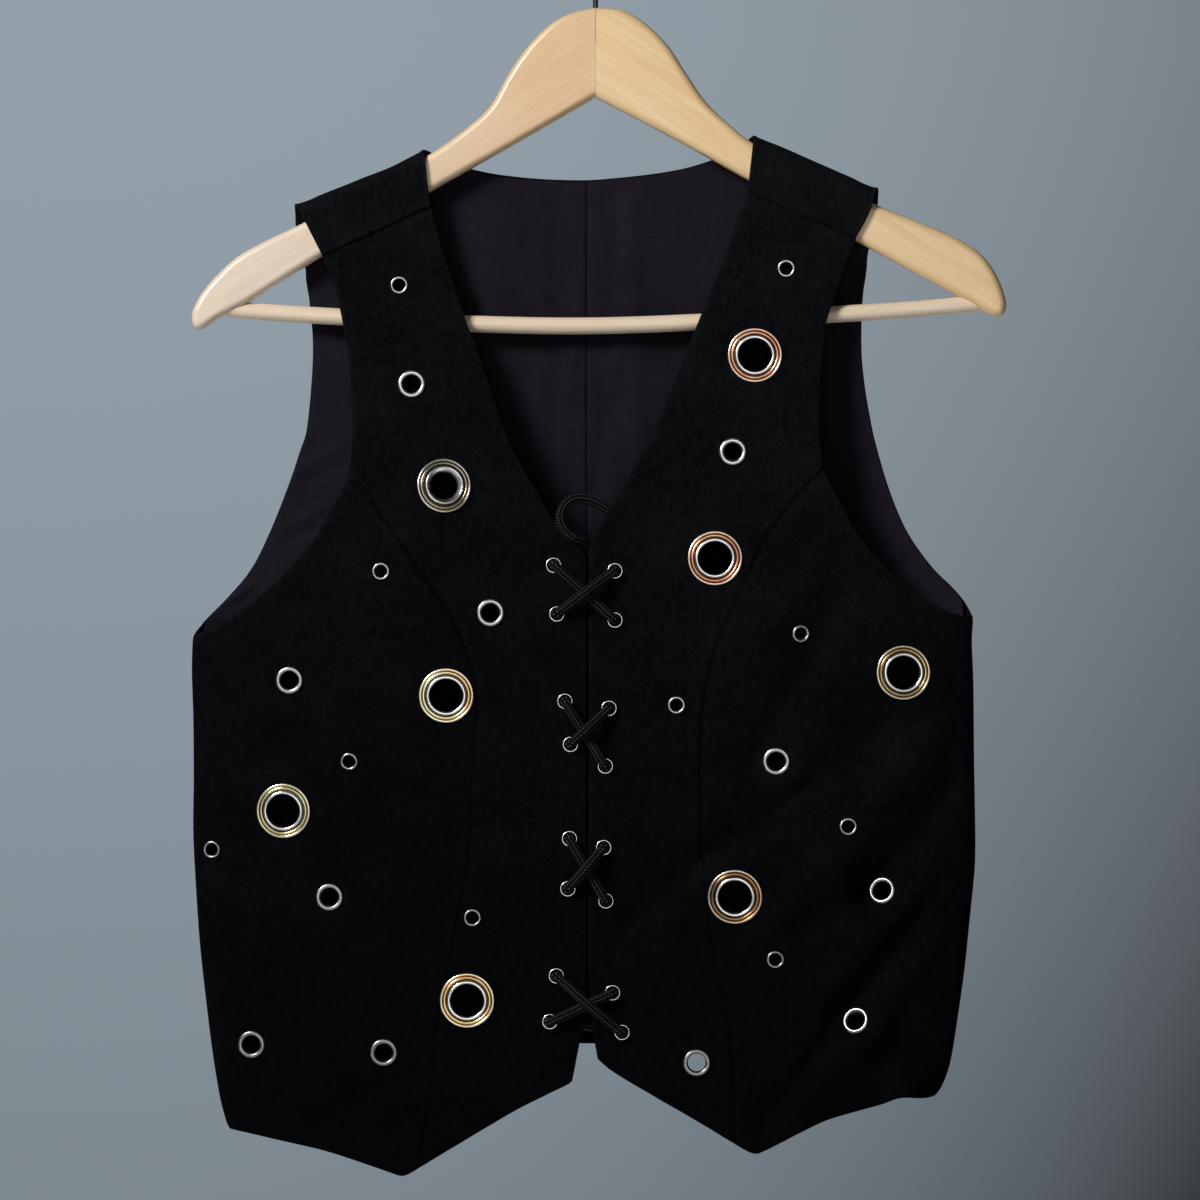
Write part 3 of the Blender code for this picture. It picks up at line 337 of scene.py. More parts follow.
# fullness of the chest: x, drop; and the two waves of the right hem: x, height
CHEST = [(-96, 336), (88, 330)]
HEM_WAVES = [(168, 3.0), (150, -2.5)]


def front_depth(x, d):
    q = across(x, d)
    full = H_FRONT + 14.0 * smooth((d - 125) / 215) - 5.0 * smooth((d - 430) / 210)
    chest = sum(5.5 * np.exp(-((x - cx) / 46) ** 2 - ((d - cd) / 58) ** 2) for cx, cd in CHEST)
    wave = sum(h * bell(x, wx, 9) * smooth((d - 560) / 28) for wx, h in HEM_WAVES)
    m = H_FRONT * hold(d)
    return -(m + (full - m + chest) * crown(q) + (folds(FRONT_FOLDS, x, d) + wave) * inward(q, 0.07))


def back_depth(x, d):
    q = across(x, d)
    full = H_BACK + 9.0 * smooth((d - 112) / 200) - 2.5 * smooth((d - 450) / 150)
    m = H_BACK * hold(d)
    return m + (full - m) * crown(q) + folds(BACK_FOLDS, x, d) * inward(q, 0.07)


def slopes(fn, x, d, h=1.5):
    return (fn(x + h, d) - fn(x - h, d)) / (2 * h), (fn(x, d + h) - fn(x, d - h)) / (2 * h)


# extra tilt of some eyelets, and the flats of all: x, drop, depth, slopes, radius of the flat, radius where it ends
LEAN = {(-82.6, 259.2): (0.2, -0.04), (74.4, 480.6): (-0.04, 0.12), (-100.2, 204.1): (0.06, 0.0)}
PADS = []
for ex, ed, kind in ALL_EYELETS:
    ax, ad = np.array([float(ex)]), np.array([float(ed)])
    gx, gd = slopes(front_depth, ax, ad, 5.0)
    r1 = FLANGE[kind] + 1.6
    lean = LEAN.get((ex, ed), (0.0, 0.0))
    PADS.append((ex, ed, float(front_depth(ax, ad)[0]), float(gx[0]) * 0.8 + lean[0], float(gd[0]) * 0.8 + lean[1],
                 r1, r1 + (6.5 if kind == "lace" else 11.0)))


def front_y(x, d):
    """Front form, made flat where an eyelet clamps the cloth."""
    y = front_depth(x, d)
    out = y.copy()
    for ex, ed, y0, gx, gd, r1, r2 in PADS:
        r = np.hypot(x - ex, d - ed)
        w = 1.0 - smooth((r - r1) / (r2 - r1))
        out = out + w * (y0 + gx * (x - ex) + gd * (d - ed) - y)
    return out


def at_side(x, d):
    return (across(x, d) > 0.9965) & (d > np.where(x < 0, *ARMPIT))


def front_point(x, w):
    y = front_y(x, w)
    y = np.where(at_side(x, w), -SEAM_Y, np.minimum(y, -SEAM_Y))
    return np.stack([x, y, w], -1)


def front_normal(x, w):
    gx, gd = slopes(front_y, x, w)
    n = np.stack([gx, -np.ones_like(gx), gd], -1)
    return n / np.linalg.norm(n, axis=-1, keepdims=True)


# roll of the back over the arms: half depth, rise, length of cloth
ROLL_H, ROLL_Z, ROLL_LEN = 9.1, 7.4, 27.0
_ft = dense(FOLD_TOP)


def fold_top(x):
    return np.interp(x, _ft[:, 0], _ft[:, 1])


def roll_w(x, drop):
    """Pattern height of a point of the front strap that lies at this drop."""
    t = fold_top(np.asarray(x, float))
    return t + ROLL_Z - ROLL_LEN - (drop - t - ROLL_Z)


def back_point(x, w, square=0.86):
    """The back and the straps: up the back, over the arm in a half turn, and down the front."""
    start = fold_top(x) + ROLL_Z
    ang = np.clip((start - w) / ROLL_LEN, 0, 1) * math.pi
    c, s = np.cos(ang), np.sin(ang)
    y = 0.5 + ROLL_H * np.sign(c) * np.abs(c) ** square
    drop = start - ROLL_Z * np.abs(s) ** square
    drop = np.where(w < start - ROLL_LEN, start + (start - ROLL_LEN - w), drop)
    back = w >= start
    drop = np.where(back, w, drop)
    yb = back_depth(x, np.maximum(w, 60.0))
    yb = np.where(at_side(x, w), SEAM_Y, np.maximum(yb, SEAM_Y))
    return np.stack([x, np.where(back, yb, y), drop], -1)


# ---- small unevenness of real cloth
def drift(x, w, size, seed):
    """Slow, even noise over the pattern, about -1 to 1."""
    out = np.empty(x.shape)
    flat_x, flat_w, flat_o = x.ravel(), w.ravel(), out.reshape(-1)
    for i in range(flat_x.size):
        flat_o[i] = noise.noise(Vector((flat_x[i] / size, flat_w[i] / size, seed)))
    return out * 1.6


def edge_gap(curves, x, w, reach=14.0):
    """Distance to the nearest of some edges, no more than reach."""
    best = np.full(x.shape, reach)
    for c in curves:
        d = even(c, 2.0)
        for a, b in zip(d[:-1], d[1:]):
            near = (np.abs(x - a[0]) < reach + 2) & (np.abs(w - a[1]) < reach + 2)
            if not near.any():
                continue
            v = b - a
            px, pw = x[near] - a[0], w[near] - a[1]
            t = np.clip((px * v[0] + pw * v[1]) / (v @ v), 0, 1)
            best[near] = np.minimum(best[near], np.hypot(px - t * v[0], pw - t * v[1]))
    return best


def eyelet_fade(x, w):
    f = np.ones(x.shape)
    for p in PADS:
        f = np.minimum(f, smooth((np.hypot(x - p[0], w - p[1]) - p[5] + 1.0) / 7.0))
    return f


def pucker(gap, x, w, seed):
    """Little gathers that a seam draws into the cloth beside it."""
    wave = np.sin(w * 0.62 + 2.2 * drift(x, w, 26.0, seed))
    return wave * near(gap, 11.0) ** 2 * smooth(gap / 2.0)


# ---- cloth
def patch(top, bottom, left, right):
    """Points between four edges, each given as the grid's own border points."""
    u = (runs(top) / runs(top)[-1] + runs(bottom) / runs(bottom)[-1]) / 2
    v = (runs(left) / runs(left)[-1] + runs(right) / runs(right)[-1]) / 2
    U, V = u[None, :, None], v[:, None, None]
    flat = (1 - V) * top[None] + V * bottom[None] + (1 - U) * left[:, None] + U * right[:, None]
    corners = (1 - V) * ((1 - U) * top[0] + U * top[-1]) + V * ((1 - U) * bottom[0] + U * bottom[-1])
    return flat - corners


def lay(bm, flat, place, uv_layer, wear_and_painted_light, tone_marks):
    """Add one grid of cloth, laid where place says, with the pattern as its UV."""
    rows, cols = flat.shape[:2]
    made = bmesh.ops.create_grid(bm, x_segments=cols - 1, y_segments=rows - 1, size=1.0)["verts"]
    spot = {}
    for v in made:
        i = int(round((v.co.x + 1) / 2 * (cols - 1)))
        j = int(round((1 - v.co.y) / 2 * (rows - 1)))
        spot[v] = (j, i)
        v.co = world(place[j, i])
        v[wear_and_painted_light] = float(tone_marks[j, i])
    for f in {f for v in made for f in v.link_faces}:
        for loop in f.loops:
            j, i = spot[loop.vert]
            loop[uv_layer].uv = (flat[j, i, 0] * MM, -flat[j, i, 1] * MM)


def eyelet_frame(pad):
    n = Vector((pad[3], -1.0, -pad[4])).normalized()
    u = n.cross(Vector((0, 0, 1))).normalized()
    v = n.cross(u)
    c = world((pad[0], pad[2], pad[1]))
    return c, u, v, n


def punch(bm, pads):
    """Cut the round holes that the eyelets line."""
    for pad, kind in pads:
        c, u, v, _ = eyelet_frame(pad)
        r = HOLE[kind] * MM
        gone = [f for f in bm.faces if (f.calc_center_median() - c).length < r * 1.02]
        rim = {e.verts[k] for f in gone for e in f.edges for k in (0, 1) if any(g not in gone for g in e.link_faces)}
        bmesh.ops.delete(bm, geom=gone, context="FACES")
        for p in rim:
            if not p.is_valid:
                continue
            d = p.co - c
            a = math.atan2(d.dot(v), d.dot(u))
            p.co = c + (u * math.cos(a) + v * math.sin(a)) * r


def put(name, bm, sharp=None):
    """Make the scene's object of a finished mesh, with its edges over this angle kept sharp."""
    me = bpy.data.meshes.new(name)
    bm.to_mesh(me)
    bm.free()
    if sharp:
        me.set_sharp_from_angle(angle=math.radians(sharp))
    ob = bpy.data.objects.new(name, me)
    bpy.context.scene.collection.objects.link(ob)
    return ob


def soften(bm):
    for f in bm.faces:
        f.smooth = True


def shell(name, bm, wall, facing, rim):
    """Turn the faces outward, give the cloth its thickness and round its turned edges."""
    bmesh.ops.recalc_face_normals(bm, faces=bm.faces)
    total = Vector()
    for f in bm.faces:
        total += f.normal * f.calc_area()
    if total.dot(Vector(facing)) < 0:
        bmesh.ops.reverse_faces(bm, faces=bm.faces)
    soften(bm)
    ob = put(name, bm)
    thick = ob.modifiers.new("wall", "SOLIDIFY")
    thick.thickness = wall * MM
    thick.offset = 0.0
    thick.use_even_offset = False
    turn = ob.modifiers.new("turned edge", "BEVEL")
    turn.width = rim * MM
    turn.segments = 3
    turn.limit_method = "ANGLE"
    turn.angle_limit = math.radians(62)
    return ob


def start_cloth():
    bm = bmesh.new()
    return bm, bm.loops.layers.uv.new("cloth"), bm.verts.layers.float.new("wear_and_painted_light")


def front_panel(name, flat, seams, edges, seed):
    """Lay one front piece: the tone marks are below 0 in a seam, a painted shade line, and above 0 on rubbed edges.
    """
    x, w = flat[..., 0], flat[..., 1]
    base = front_point(x, w)
    n = front_normal(x, w)
    calm = eyelet_fade(x, w)
    side = inward(across(x, w), 0.05)
    seam_gap = edge_gap(seams, x, w)
    edge_at = edge_gap(edges, x, w)
    lift = folds(FRONT_CREASES, x, w) + 0.55 * drift(x, w, 44.0, seed) + 0.22 * drift(x, w, 17.0, seed + 9)
    lift = lift + 0.42 * pucker(seam_gap, x, w, seed) + 0.16 * pucker(edge_at, x, w, seed + 5)
    lift = lift * calm * side
    lift = lift - 0.5 * near(seam_gap, 2.2) ** 2 - 0.5 * near(edge_at, 1.8) ** 2
    lift = lift + 0.16 * smooth((HEM_TURN - edge_at) / 1.6) * calm * side
    place = base + n * lift[..., None]
    place[..., 1] = np.minimum(place[..., 1], -SEAM_Y)
    # painted shade lines along the seams, stronger at the left shoulder seam; rubbed edges and a band beside each
    # seam are lighter
    groove = 0.45 + 0.5 * ((w < 150) & (x < 0))      # darker at the left shoulder
    tone_marks = near(edge_at, 2.2) * np.clip(seam_gap / 2.0, 0, 1) - groove * near(seam_gap, 1.3) \
        + 0.3 * bell(seam_gap, 3.2, 1.5)
    bm, uv_layer, wear_and_painted_light = start_cloth()
    lay(bm, flat, place, uv_layer, wear_and_painted_light, tone_marks)
    box = (x.min(), x.max(), w.min(), w.max())
    mine = [(p, e[2]) for p, e in zip(PADS, ALL_EYELETS)
            if box[0] < p[0] < box[1] and box[2] < p[1] < box[3] and np.min(np.hypot(x - p[0], w - p[1])) < 3.0]
    punch(bm, mine)
    return shell(name, bm, DENIM, (0, -1, 0), 0.45)


L_SHOULDER = [(-90.2, 108), (-110, 117), (-130, 126.1), (-148.5, 134.5)]
R_SHOULDER = [(81.5, 99.9), (101, 108.3), (121, 116.9), (139.9, 125)]
# node, piece, seed, top, hem, left edge, right edge, seams, free edges
fronts = {}
for node, piece, seed, top, hem, left, right, seams, edges in [
    ("front_centre_left", "left_front_centre", 1.3, [(L_SHOULDER, 46, 0)], [(L_HEM_C, 46, 0)],
     [(L_NECK, 104, 0), (L_CF, 142, 0)], [(L_ARM_U, 62, 0), (L_PRINCESS, 184, 0)],
     [L_PRINCESS, L_SHOULDER], [L_NECK, L_CF, L_HEM_C, L_ARM_U]),
    ("front_side_left", "left_front_side", 2.7, [(L_ARM_L, 66, -1.5)], [(L_HEM_S, 66, -1.5)],
     [(L_PRINCESS, 164, 0)], [(L_SIDE, 164, 0)], [L_PRINCESS], [L_ARM_L, L_HEM_S]),
    ("front_centre_right", "right_front_centre", 4.1, [(R_SHOULDER, 46, 0)], [(R_HEM_C, 46, 0)],
     [(R_NECK, 104, 0), (R_CF, 138, 0)], [(R_ARM_U, 64, 0), (R_PRINCESS, 178, 0)],
     [R_PRINCESS, R_SHOULDER], [R_NECK, R_CF, R_HEM_C, R_ARM_U]),
    ("front_side_right", "right_front_side", 5.9, [(R_ARM_L, 64, -1.5)], [(R_HEM_S, 64, -1.5)],
     [(R_PRINCESS, 160, 0)], [(R_SIDE, 160, 0)], [R_PRINCESS], [R_ARM_L, R_HEM_S]),
]:
    flat = patch(border(*top), border(*hem), border(*left), border(*right))
    fronts[node] = front_panel(piece, flat, seams, edges, seed)


# ---- back
def strap_line(points):
    return [(x, float(roll_w(x, d))) for x, d in points]


def on_roll(x, part):
    """A point of the strap that lies at this part of the roll."""
    return (x, float(fold_top(x)) + ROLL_Z - ROLL_LEN * part)


def normals_of(place):
    """Outward direction of the laid grid, from its own neighbours."""
    du = np.gradient(place, axis=1)
    dv = np.gradient(place, axis=0)
    n = np.cross(du, dv)
    return n / (np.linalg.norm(n, axis=-1, keepdims=True) + 1e-9)


def back_panel():
    L_TIP, R_TIP = LB_ARM[-1], RB_ARM[-1]
    base_l = [L_TIP, (-133, 112.8), (-104.5, 98.6), BACK_NECK[0]]
    base_r = [BACK_NECK[-1], (96.8, 91.5), (123.6, 104.3), R_TIP]
    top = border((base_l, 30, 1.25), (BACK_NECK, 50, 0), (base_r, 30, -1.25))
    share = runs(top) / runs(top)[-1]
    left = border((LB_ARM[::-1], 80, 0), (L_SIDE, 92, 0))
    right = border((RB_ARM[::-1], 80, 0), (R_SIDE, 92, 0))
    body = patch(top, along(BACK_HEM, share), left, right)
    # outer and inner edges of the straps, from the shoulder seam over the arm
    over_l = strap_line([L_SHOULDER[-1], (-157.4, 117)]) + \
        [on_roll(-163, 0.7), on_roll(-164, 0.3), (-163.4, 121), L_TIP]
    in_l = strap_line(L_SHOULDER[:1]) + \
        [on_roll(-93.2, 0.86), on_roll(-93.6, 0.5), on_roll(-88.5, 0.14), BACK_NECK[0]]
    over_r = strap_line([R_SHOULDER[-1], (147.6, 110.5)]) + \
        [on_roll(151.4, 0.7), on_roll(152.8, 0.3), (152, 112), R_TIP]
    in_r = strap_line(R_SHOULDER[:1]) + \
        [on_roll(84.4, 0.86), on_roll(84.6, 0.5), on_roll(80.4, 0.14), BACK_NECK[-1]]
    strap_l = patch(border((strap_line(L_SHOULDER[::-1]), 30, 1.25)), border((base_l, 30, 1.25)),
                    border((over_l, 44, 0)), border((in_l, 44, 0)))
    strap_r = patch(border((strap_line(R_SHOULDER), 30, -1.25)), border((base_r, 30, -1.25)),
                    border((in_r, 44, 0)), border((over_r, 44, 0)))
    edges = [BACK_NECK, in_l, in_r, LB_ARM, RB_ARM, BACK_HEM, over_l, over_r]
    seams = [strap_line(L_SHOULDER), strap_line(R_SHOULDER)]
    bm, uv_layer, wear_and_painted_light = start_cloth()
    for flat in (body, strap_l, strap_r):
        x, w = flat[..., 0], flat[..., 1]
        place = back_point(x, w)
        n = normals_of(place)
        side = inward(across(x, w), 0.05)
        low = smooth((w - fold_top(x) - 12) / 30)
        edge_at = edge_gap(edges, x, w)
        seam_gap = edge_gap(seams, x, w)
        lift = folds(BACK_CREASES, x, w) + 0.6 * drift(x, w, 52.0, 11.2) + 0.25 * drift(x, w, 19.0, 3.2)
        lift = lift * side * low
        lift = lift + 0.16 * pucker(edge_at, x, w, 8.0) * side
        lift = lift + 0.1 * drift(x, w, 12.0, 6.0) * (1 - low)
        lift = lift - 0.5 * near(edge_at, 1.8) ** 2 - 0.6 * near(seam_gap, 2.4) ** 2
        lift = lift + 0.16 * smooth((HEM_TURN - edge_at) / 1.6) * side
        inside = (n[..., 1] < 0) & (w > fold_top(x) + 4)
        place = place + n * (np.where(inside, -1.0, 1.0) * lift)[..., None]
        # paler rubbed edges; the straps over the arms lighter, a painted highlight; painted shade lines in the
        # shoulder seams, stronger at the left; a lighter band beside them
        tone_marks = near(edge_at, 2.2) + 0.3 * (1 - smooth((w - fold_top(x) + 8) / 18)) \
            - np.where(x < 0, 0.9, 0.4) * near(seam_gap, 1.3) + 0.2 * bell(seam_gap, 3.2, 1.5)
        lay(bm, flat, place, uv_layer, wear_and_painted_light, tone_marks)
    bmesh.ops.remove_doubles(bm, verts=bm.verts, dist=0.00002)
    return shell("back", bm, DENIM, (0, 1, 0), 0.45)


back = back_panel()


# ---- lining
# shoulder ends of the lining, tucked under the roll
L_TUCK = [(-150, 114), (-128, 107), (-106, 98), (-90, 90)]
R_TUCK = [(140, 105), (120, 98), (100, 89.5), (86, 84.5)]
LINING_UP = 12      # height of the lining's hem above the vest's


def lining_half(name, sign):
    """One half of the back lining; sign is -1 for the left and 1 for the right."""
    left = sign < 0
    side, arm, strap = (L_SIDE, LB_ARM, L_TUCK) if left else (R_SIDE, RB_ARM, R_TUCK)
    neck = [(x, d + 1.0) for x, d in BACK_NECK if sign * (x - CB) > 4]
    hem = [(x, d - LINING_UP) for x, d in BACK_HEM if sign * (x - CB) > 6]
    hem = hem[1:] if left else hem[:-1]
    top_mid = (CB, float(np.interp(CB, *zip(*BACK_NECK))) + 1.0)
    low_mid = (CB, float(np.interp(CB, *zip(*BACK_HEM))) - LINING_UP)
    arm_pts = [(x - sign * 0.3, d) for x, d in arm[::-1] if d > 128][:-1]
    pit = (side[0][0] * 0.982, side[0][1] + 3.0)
    side_pts = [pit] + [(MIDDLE + (x - MIDDLE) * 0.965, d) for x, d in side if side[0][1] + 12 < d < 580] + \
        [(MIDDLE + (side[-1][0] - MIDDLE) * 0.93, side[-1][1] - 16)]
    outer = border(([strap[0]] + arm_pts + [pit], 70, 0), (side_pts, 86, 0))
    middle = border(([top_mid, low_mid], 156, 0))
    if left:
        top = border((strap, 22, 0), ([strap[-1]] + neck + [top_mid], 34, -1.35))
        flat = patch(top, border(([side_pts[-1]] + hem + [low_mid], 56, -1.3)), outer, middle)
    else:
        top = border(([top_mid] + neck + [strap[-1]], 34, 1.35), (strap[::-1], 22, 0))
        flat = patch(top, border(([low_mid] + hem + [side_pts[-1]], 56, 1.3)), middle, outer)
    x, w = flat[..., 0], flat[..., 1]
    base = back_point(x, w)
    n = normals_of(base)
    n = n * np.where(n[..., 1:2] < 0, -1.0, 1.0)
    below = smooth((w - 230) / 70)
    cb_gap = np.abs(x - CB)
    lift = 0.5 * drift(x, w, 40.0, 21.0 + sign) + 0.2 * drift(x, w, 15.0, 31.0 + sign)
    lift = lift + 0.3 * pucker(cb_gap, x, w, 40.0)
    lift = lift * (0.45 + 0.55 * below) + 1.25 * folds(LINING_CREASES, x, w) - 0.7 * near(cb_gap, 1.2)
    place = base - n * (2.1 + 1.2 * below + lift * inward(across(x, w), 0.06))[..., None]
    bm, uv_layer, wear_and_painted_light = start_cloth()
    # painted shade line along the centre back seam
    lay(bm, flat, place, uv_layer, wear_and_painted_light, -near(cb_gap, 0.9))
    return shell(name, bm, LINING, (0, -1, 0), 0.25)


linings = {"lining_left": lining_half("left_lining", -1), "lining_right": lining_half("right_lining", 1)}


# ---- eyelets
def bead(cx, cy, rx, ry, start, end, count, dark=(0.0, 0.0), crest=0.0):
    """Rounded part of a turned profile, angles in degrees; it darkens towards its two ends, a painted shade where it
    meets the grooves, and a crest below 0 makes its top pale, rubbed bright with a painted highlight.
    """
    out = []
    for k in range(count):
        t = k / (count - 1)
        g = math.radians(start + (end - start) * t)
        shade = dark[0] * max(0.0, 1 - 3.6 * t) + dark[1] * max(0.0, 1 - 3.6 * (1 - t))
        out.append((cx + rx * math.cos(g), cy + ry * math.sin(g), shade + crest * (1 - abs(2 * t - 1))))
    return out


# turned profiles: radius, height above the middle of the cloth, painted shade in the grooves and hole walls (below
# 0: rubbed bright, with a painted highlight)
LARGE_FACE = [(10.6, 0.95, 1.0), (13.4, 0.8, 1.0)] \
    + bead(14.0, 1.2, 0.8, 0.62, -90, 172, 14, (0.9, 0.7), -1.0) + [(13.32, 0.95, 1.0)] \
    + bead(12.25, 1.15, 0.9, 0.8, 4, 176, 13, (0.8, 0.8)) + [(11.28, 0.95, 1.0), (10.7, 1.1, 1.0)]
BACK_FLANGE = [(11.2, -1.1, 0.4), (11.3, -1.5, 0.2), (11.0, -1.72, 0.0)]
LARGE_RIM = [(9.35, -1.1, 0.6)] + BACK_FLANGE \
    + [(9.3, -1.75, 0.0), (9.05, -1.5, 0.5), (9.0, 0.0, 1.0), (9.0, 1.4, 0.9)] \
    + bead(9.86, 1.9, 0.86, 0.75, 186, -24, 16, (0.7, 0.9)) + [(10.45, 1.2, 1.0), (9.4, 1.1, 1.0)]
TILTED_RIM = [(8.5, -1.1, 0.6)] + BACK_FLANGE \
    + [(8.4, -1.75, 0.0), (7.5, -1.5, 0.4), (7.3, -0.4, 0.8), (7.6, 0.7, 0.5), (8.3, 1.6, 0.3)] \
    + bead(9.75, 1.9, 0.8, 0.95, 150, -24, 12, (0.0, 0.9)) + [(10.45, 1.2, 1.0), (9.2, 1.1, 1.0)]
MEDIUM = [(5.3, 0.8, 1.0), (7.3, 0.75, 1.0)] + bead(6.15, 0.95, 1.27, 1.1, -8, 188, 20, (1.0, 0.9)) \
    + [(4.8, 0.3, 1.0), (4.78, -1.1, 0.9), (4.85, -1.4, 0.3), (5.5, -1.45, 0.0), (5.6, -1.1, 0.6), (5.15, -1.0, 0.9)]
SMALL = [(3.6, 0.8, 1.0), (4.6, 0.75, 1.0)] + bead(4.02, 0.9, 0.76, 0.95, -8, 188, 14, (0.9, 0.8)) \
    + [(3.3, 0.2, 1.0), (3.3, -1.1, 0.8), (3.4, -1.3, 0.2), (4.1, -1.3, 0.0), (4.2, -1.0, 0.6), (3.6, -0.95, 0.9)]
LACE_RING = [(3.62, 0.8, 1.0), (4.2, 0.75, 1.0)] + bead(3.8, 0.9, 0.52, 0.75, -8, 188, 12, (0.9, 0.8)) \
    + [(3.28, 0.2, 1.0), (3.28, -1.0, 0.8), (3.4, -1.2, 0.2), (4.0, -1.2, 0.0), (4.1, -0.9, 0.6), (3.65, -0.85, 0.9)]


def turned(name, profile, pad, steps):
    """Spin a closed profile into a ring and set it on its eyelet's flat."""
    bm = bmesh.new()
    dark = bm.verts.layers.float.new("painted_shade_wear_and_highlight")
    vs = []
    for r, h, t in profile:
        v = bm.verts.new((r * MM, 0.0, h * MM))
        v[dark] = t
        vs.append(v)
    es = [bm.edges.new((vs[i], vs[(i + 1) % len(vs)])) for i in range(len(vs))]
    bmesh.ops.spin(bm, geom=vs + es, cent=(0, 0, 0), axis=(0, 0, 1), dvec=(0, 0, 0), angle=2 * math.pi, steps=steps,
                   use_merge=True, use_duplicate=False)
    bmesh.ops.recalc_face_normals(bm, faces=bm.faces)
    c, u, v, n = eyelet_frame(pad)
    m = Matrix(((u.x, v.x, n.x, c.x), (u.y, v.y, n.y, c.y), (u.z, v.z, n.z, c.z), (0, 0, 0, 1)))
    bmesh.ops.transform(bm, matrix=m, space=Matrix(), verts=bm.verts)
    if m.determinant() < 0:
        bmesh.ops.reverse_faces(bm, faces=bm.faces)
    soften(bm)
    return put(name, bm, 50)


rings = []          # object, node, kind, index
for i, (ex, ed, kind) in enumerate(EYELETS):
    node = "eyelet_%02d" % (i + 1)
    if kind == "large":
        rings.append((turned(node + "_face", LARGE_FACE, PADS[i], 96), node, "face", i))
        rings.append((turned(node + "_rim", TILTED_RIM if i == 0 else LARGE_RIM, PADS[i], 96), node, "rim", i))
    else:
        profile, steps = (MEDIUM, 72) if kind == "medium" else (SMALL, 48)
        rings.append((turned(node + "_ring", profile, PADS[i], steps), node, "silver", i))
ROWS = "abcdefgh"
lace_pad = {}
for i, row in enumerate(ROWS):
    for side, shift in (("left", 0), ("right", len(ROWS))):
        pad = PADS[len(EYELETS) + shift + i]
        lace_pad[side[0].upper() + row] = pad
        node = "lace_eyelet_%s_%s" % (side, row)
        rings.append((turned(node + "_ring", LACE_RING, pad, 44), node, "lace", i))


# ---- lace
def pad_frame(pad):
    n = np.array([pad[3], -1.0, pad[4]])
    return np.array([pad[0], pad[2], pad[1]]), n / np.linalg.norm(n)


def surface(x, d, h):
    ax, ad = np.array([float(x)]), np.array([float(d)])
    return front_point(ax, ad)[0] + front_normal(ax, ad)[0] * h


def cross_point(a, b, c, d):
    r, s = b - a, d - c
    t = ((c - a)[0] * s[1] - (c - a)[1] * s[0]) / (r[0] * s[1] - r[1] * s[0])
    return a + t * r


# curl of the free end in the neck: x, depth, drop
CURL = [
    (16, -14.0, 279), (11.5, -14.4, 275.6), (6.6, -15.0, 272.4), (1.4, -16.0, 269.2), (-4.2, -17.2, 266.9),
    (-9.8, -18.8, 266.1), (-14.8, -20.8, 267.4), (-18.2, -22.8, 271), (-19.7, -24.4, 275.6), (-18.9, -25.3, 280.2),
    (-16.4, -25.6, 284.2), (-12.3, -24.8, 287.4), (-8.2, -21.4, 288.8), (-6.2, -18.0, 290.7), (-4.2, -15.6, 293.6),
    (-1.0, -14.8, 297.6), (3.6, -15.0, 301.8),
]
# runs in front of the cloth, in the order of the lacing; those in OVER cross on top
RUNS = [("Ra", "Lb"), ("Lc", "Rd"), ("Re", "Lf"), ("Lg", "Rh"),
        ("Lh", "Rg"), ("Rf", "Le"), ("Ld", "Rc"), ("Rb", "La")]
OVER = {("Ra", "Lb"), ("Ld", "Rc"), ("Re", "Lf"), ("Lg", "Rh")}
BEHIND, THROUGH, BENT = 4.3, 4.0, 5.2       # heights of the cord at an eyelet, off the cloth


def lace_path():
    pts = [np.array(p, float) for p in CURL]
    for key, nxt in RUNS:
        c, n = pad_frame(lace_pad[key])
        c2, n2 = pad_frame(lace_pad[nxt])
        run = (c2 - c) / np.linalg.norm(c2 - c)
        low, high = sorted((key[1], nxt[1]))
        ends = [np.array(lace_pad[k][:2]) for k in ("L" + low, "R" + high, "R" + low, "L" + high)]
        x, d = cross_point(*ends)
        mid = surface(x, d, 0.0) + (n + n2) / 2 * (10.2 if (key, nxt) in OVER else 4.0)
        pts += [c - n * BEHIND, c + n * THROUGH, c + (n + run) * BENT, mid, c2 + (n2 - run) * BENT,
                c2 + n2 * THROUGH, c2 - n2 * BEHIND]
    return pts + [surface(x, d, -4.6) for x, d in ((-34, 312), (-40, 330))]


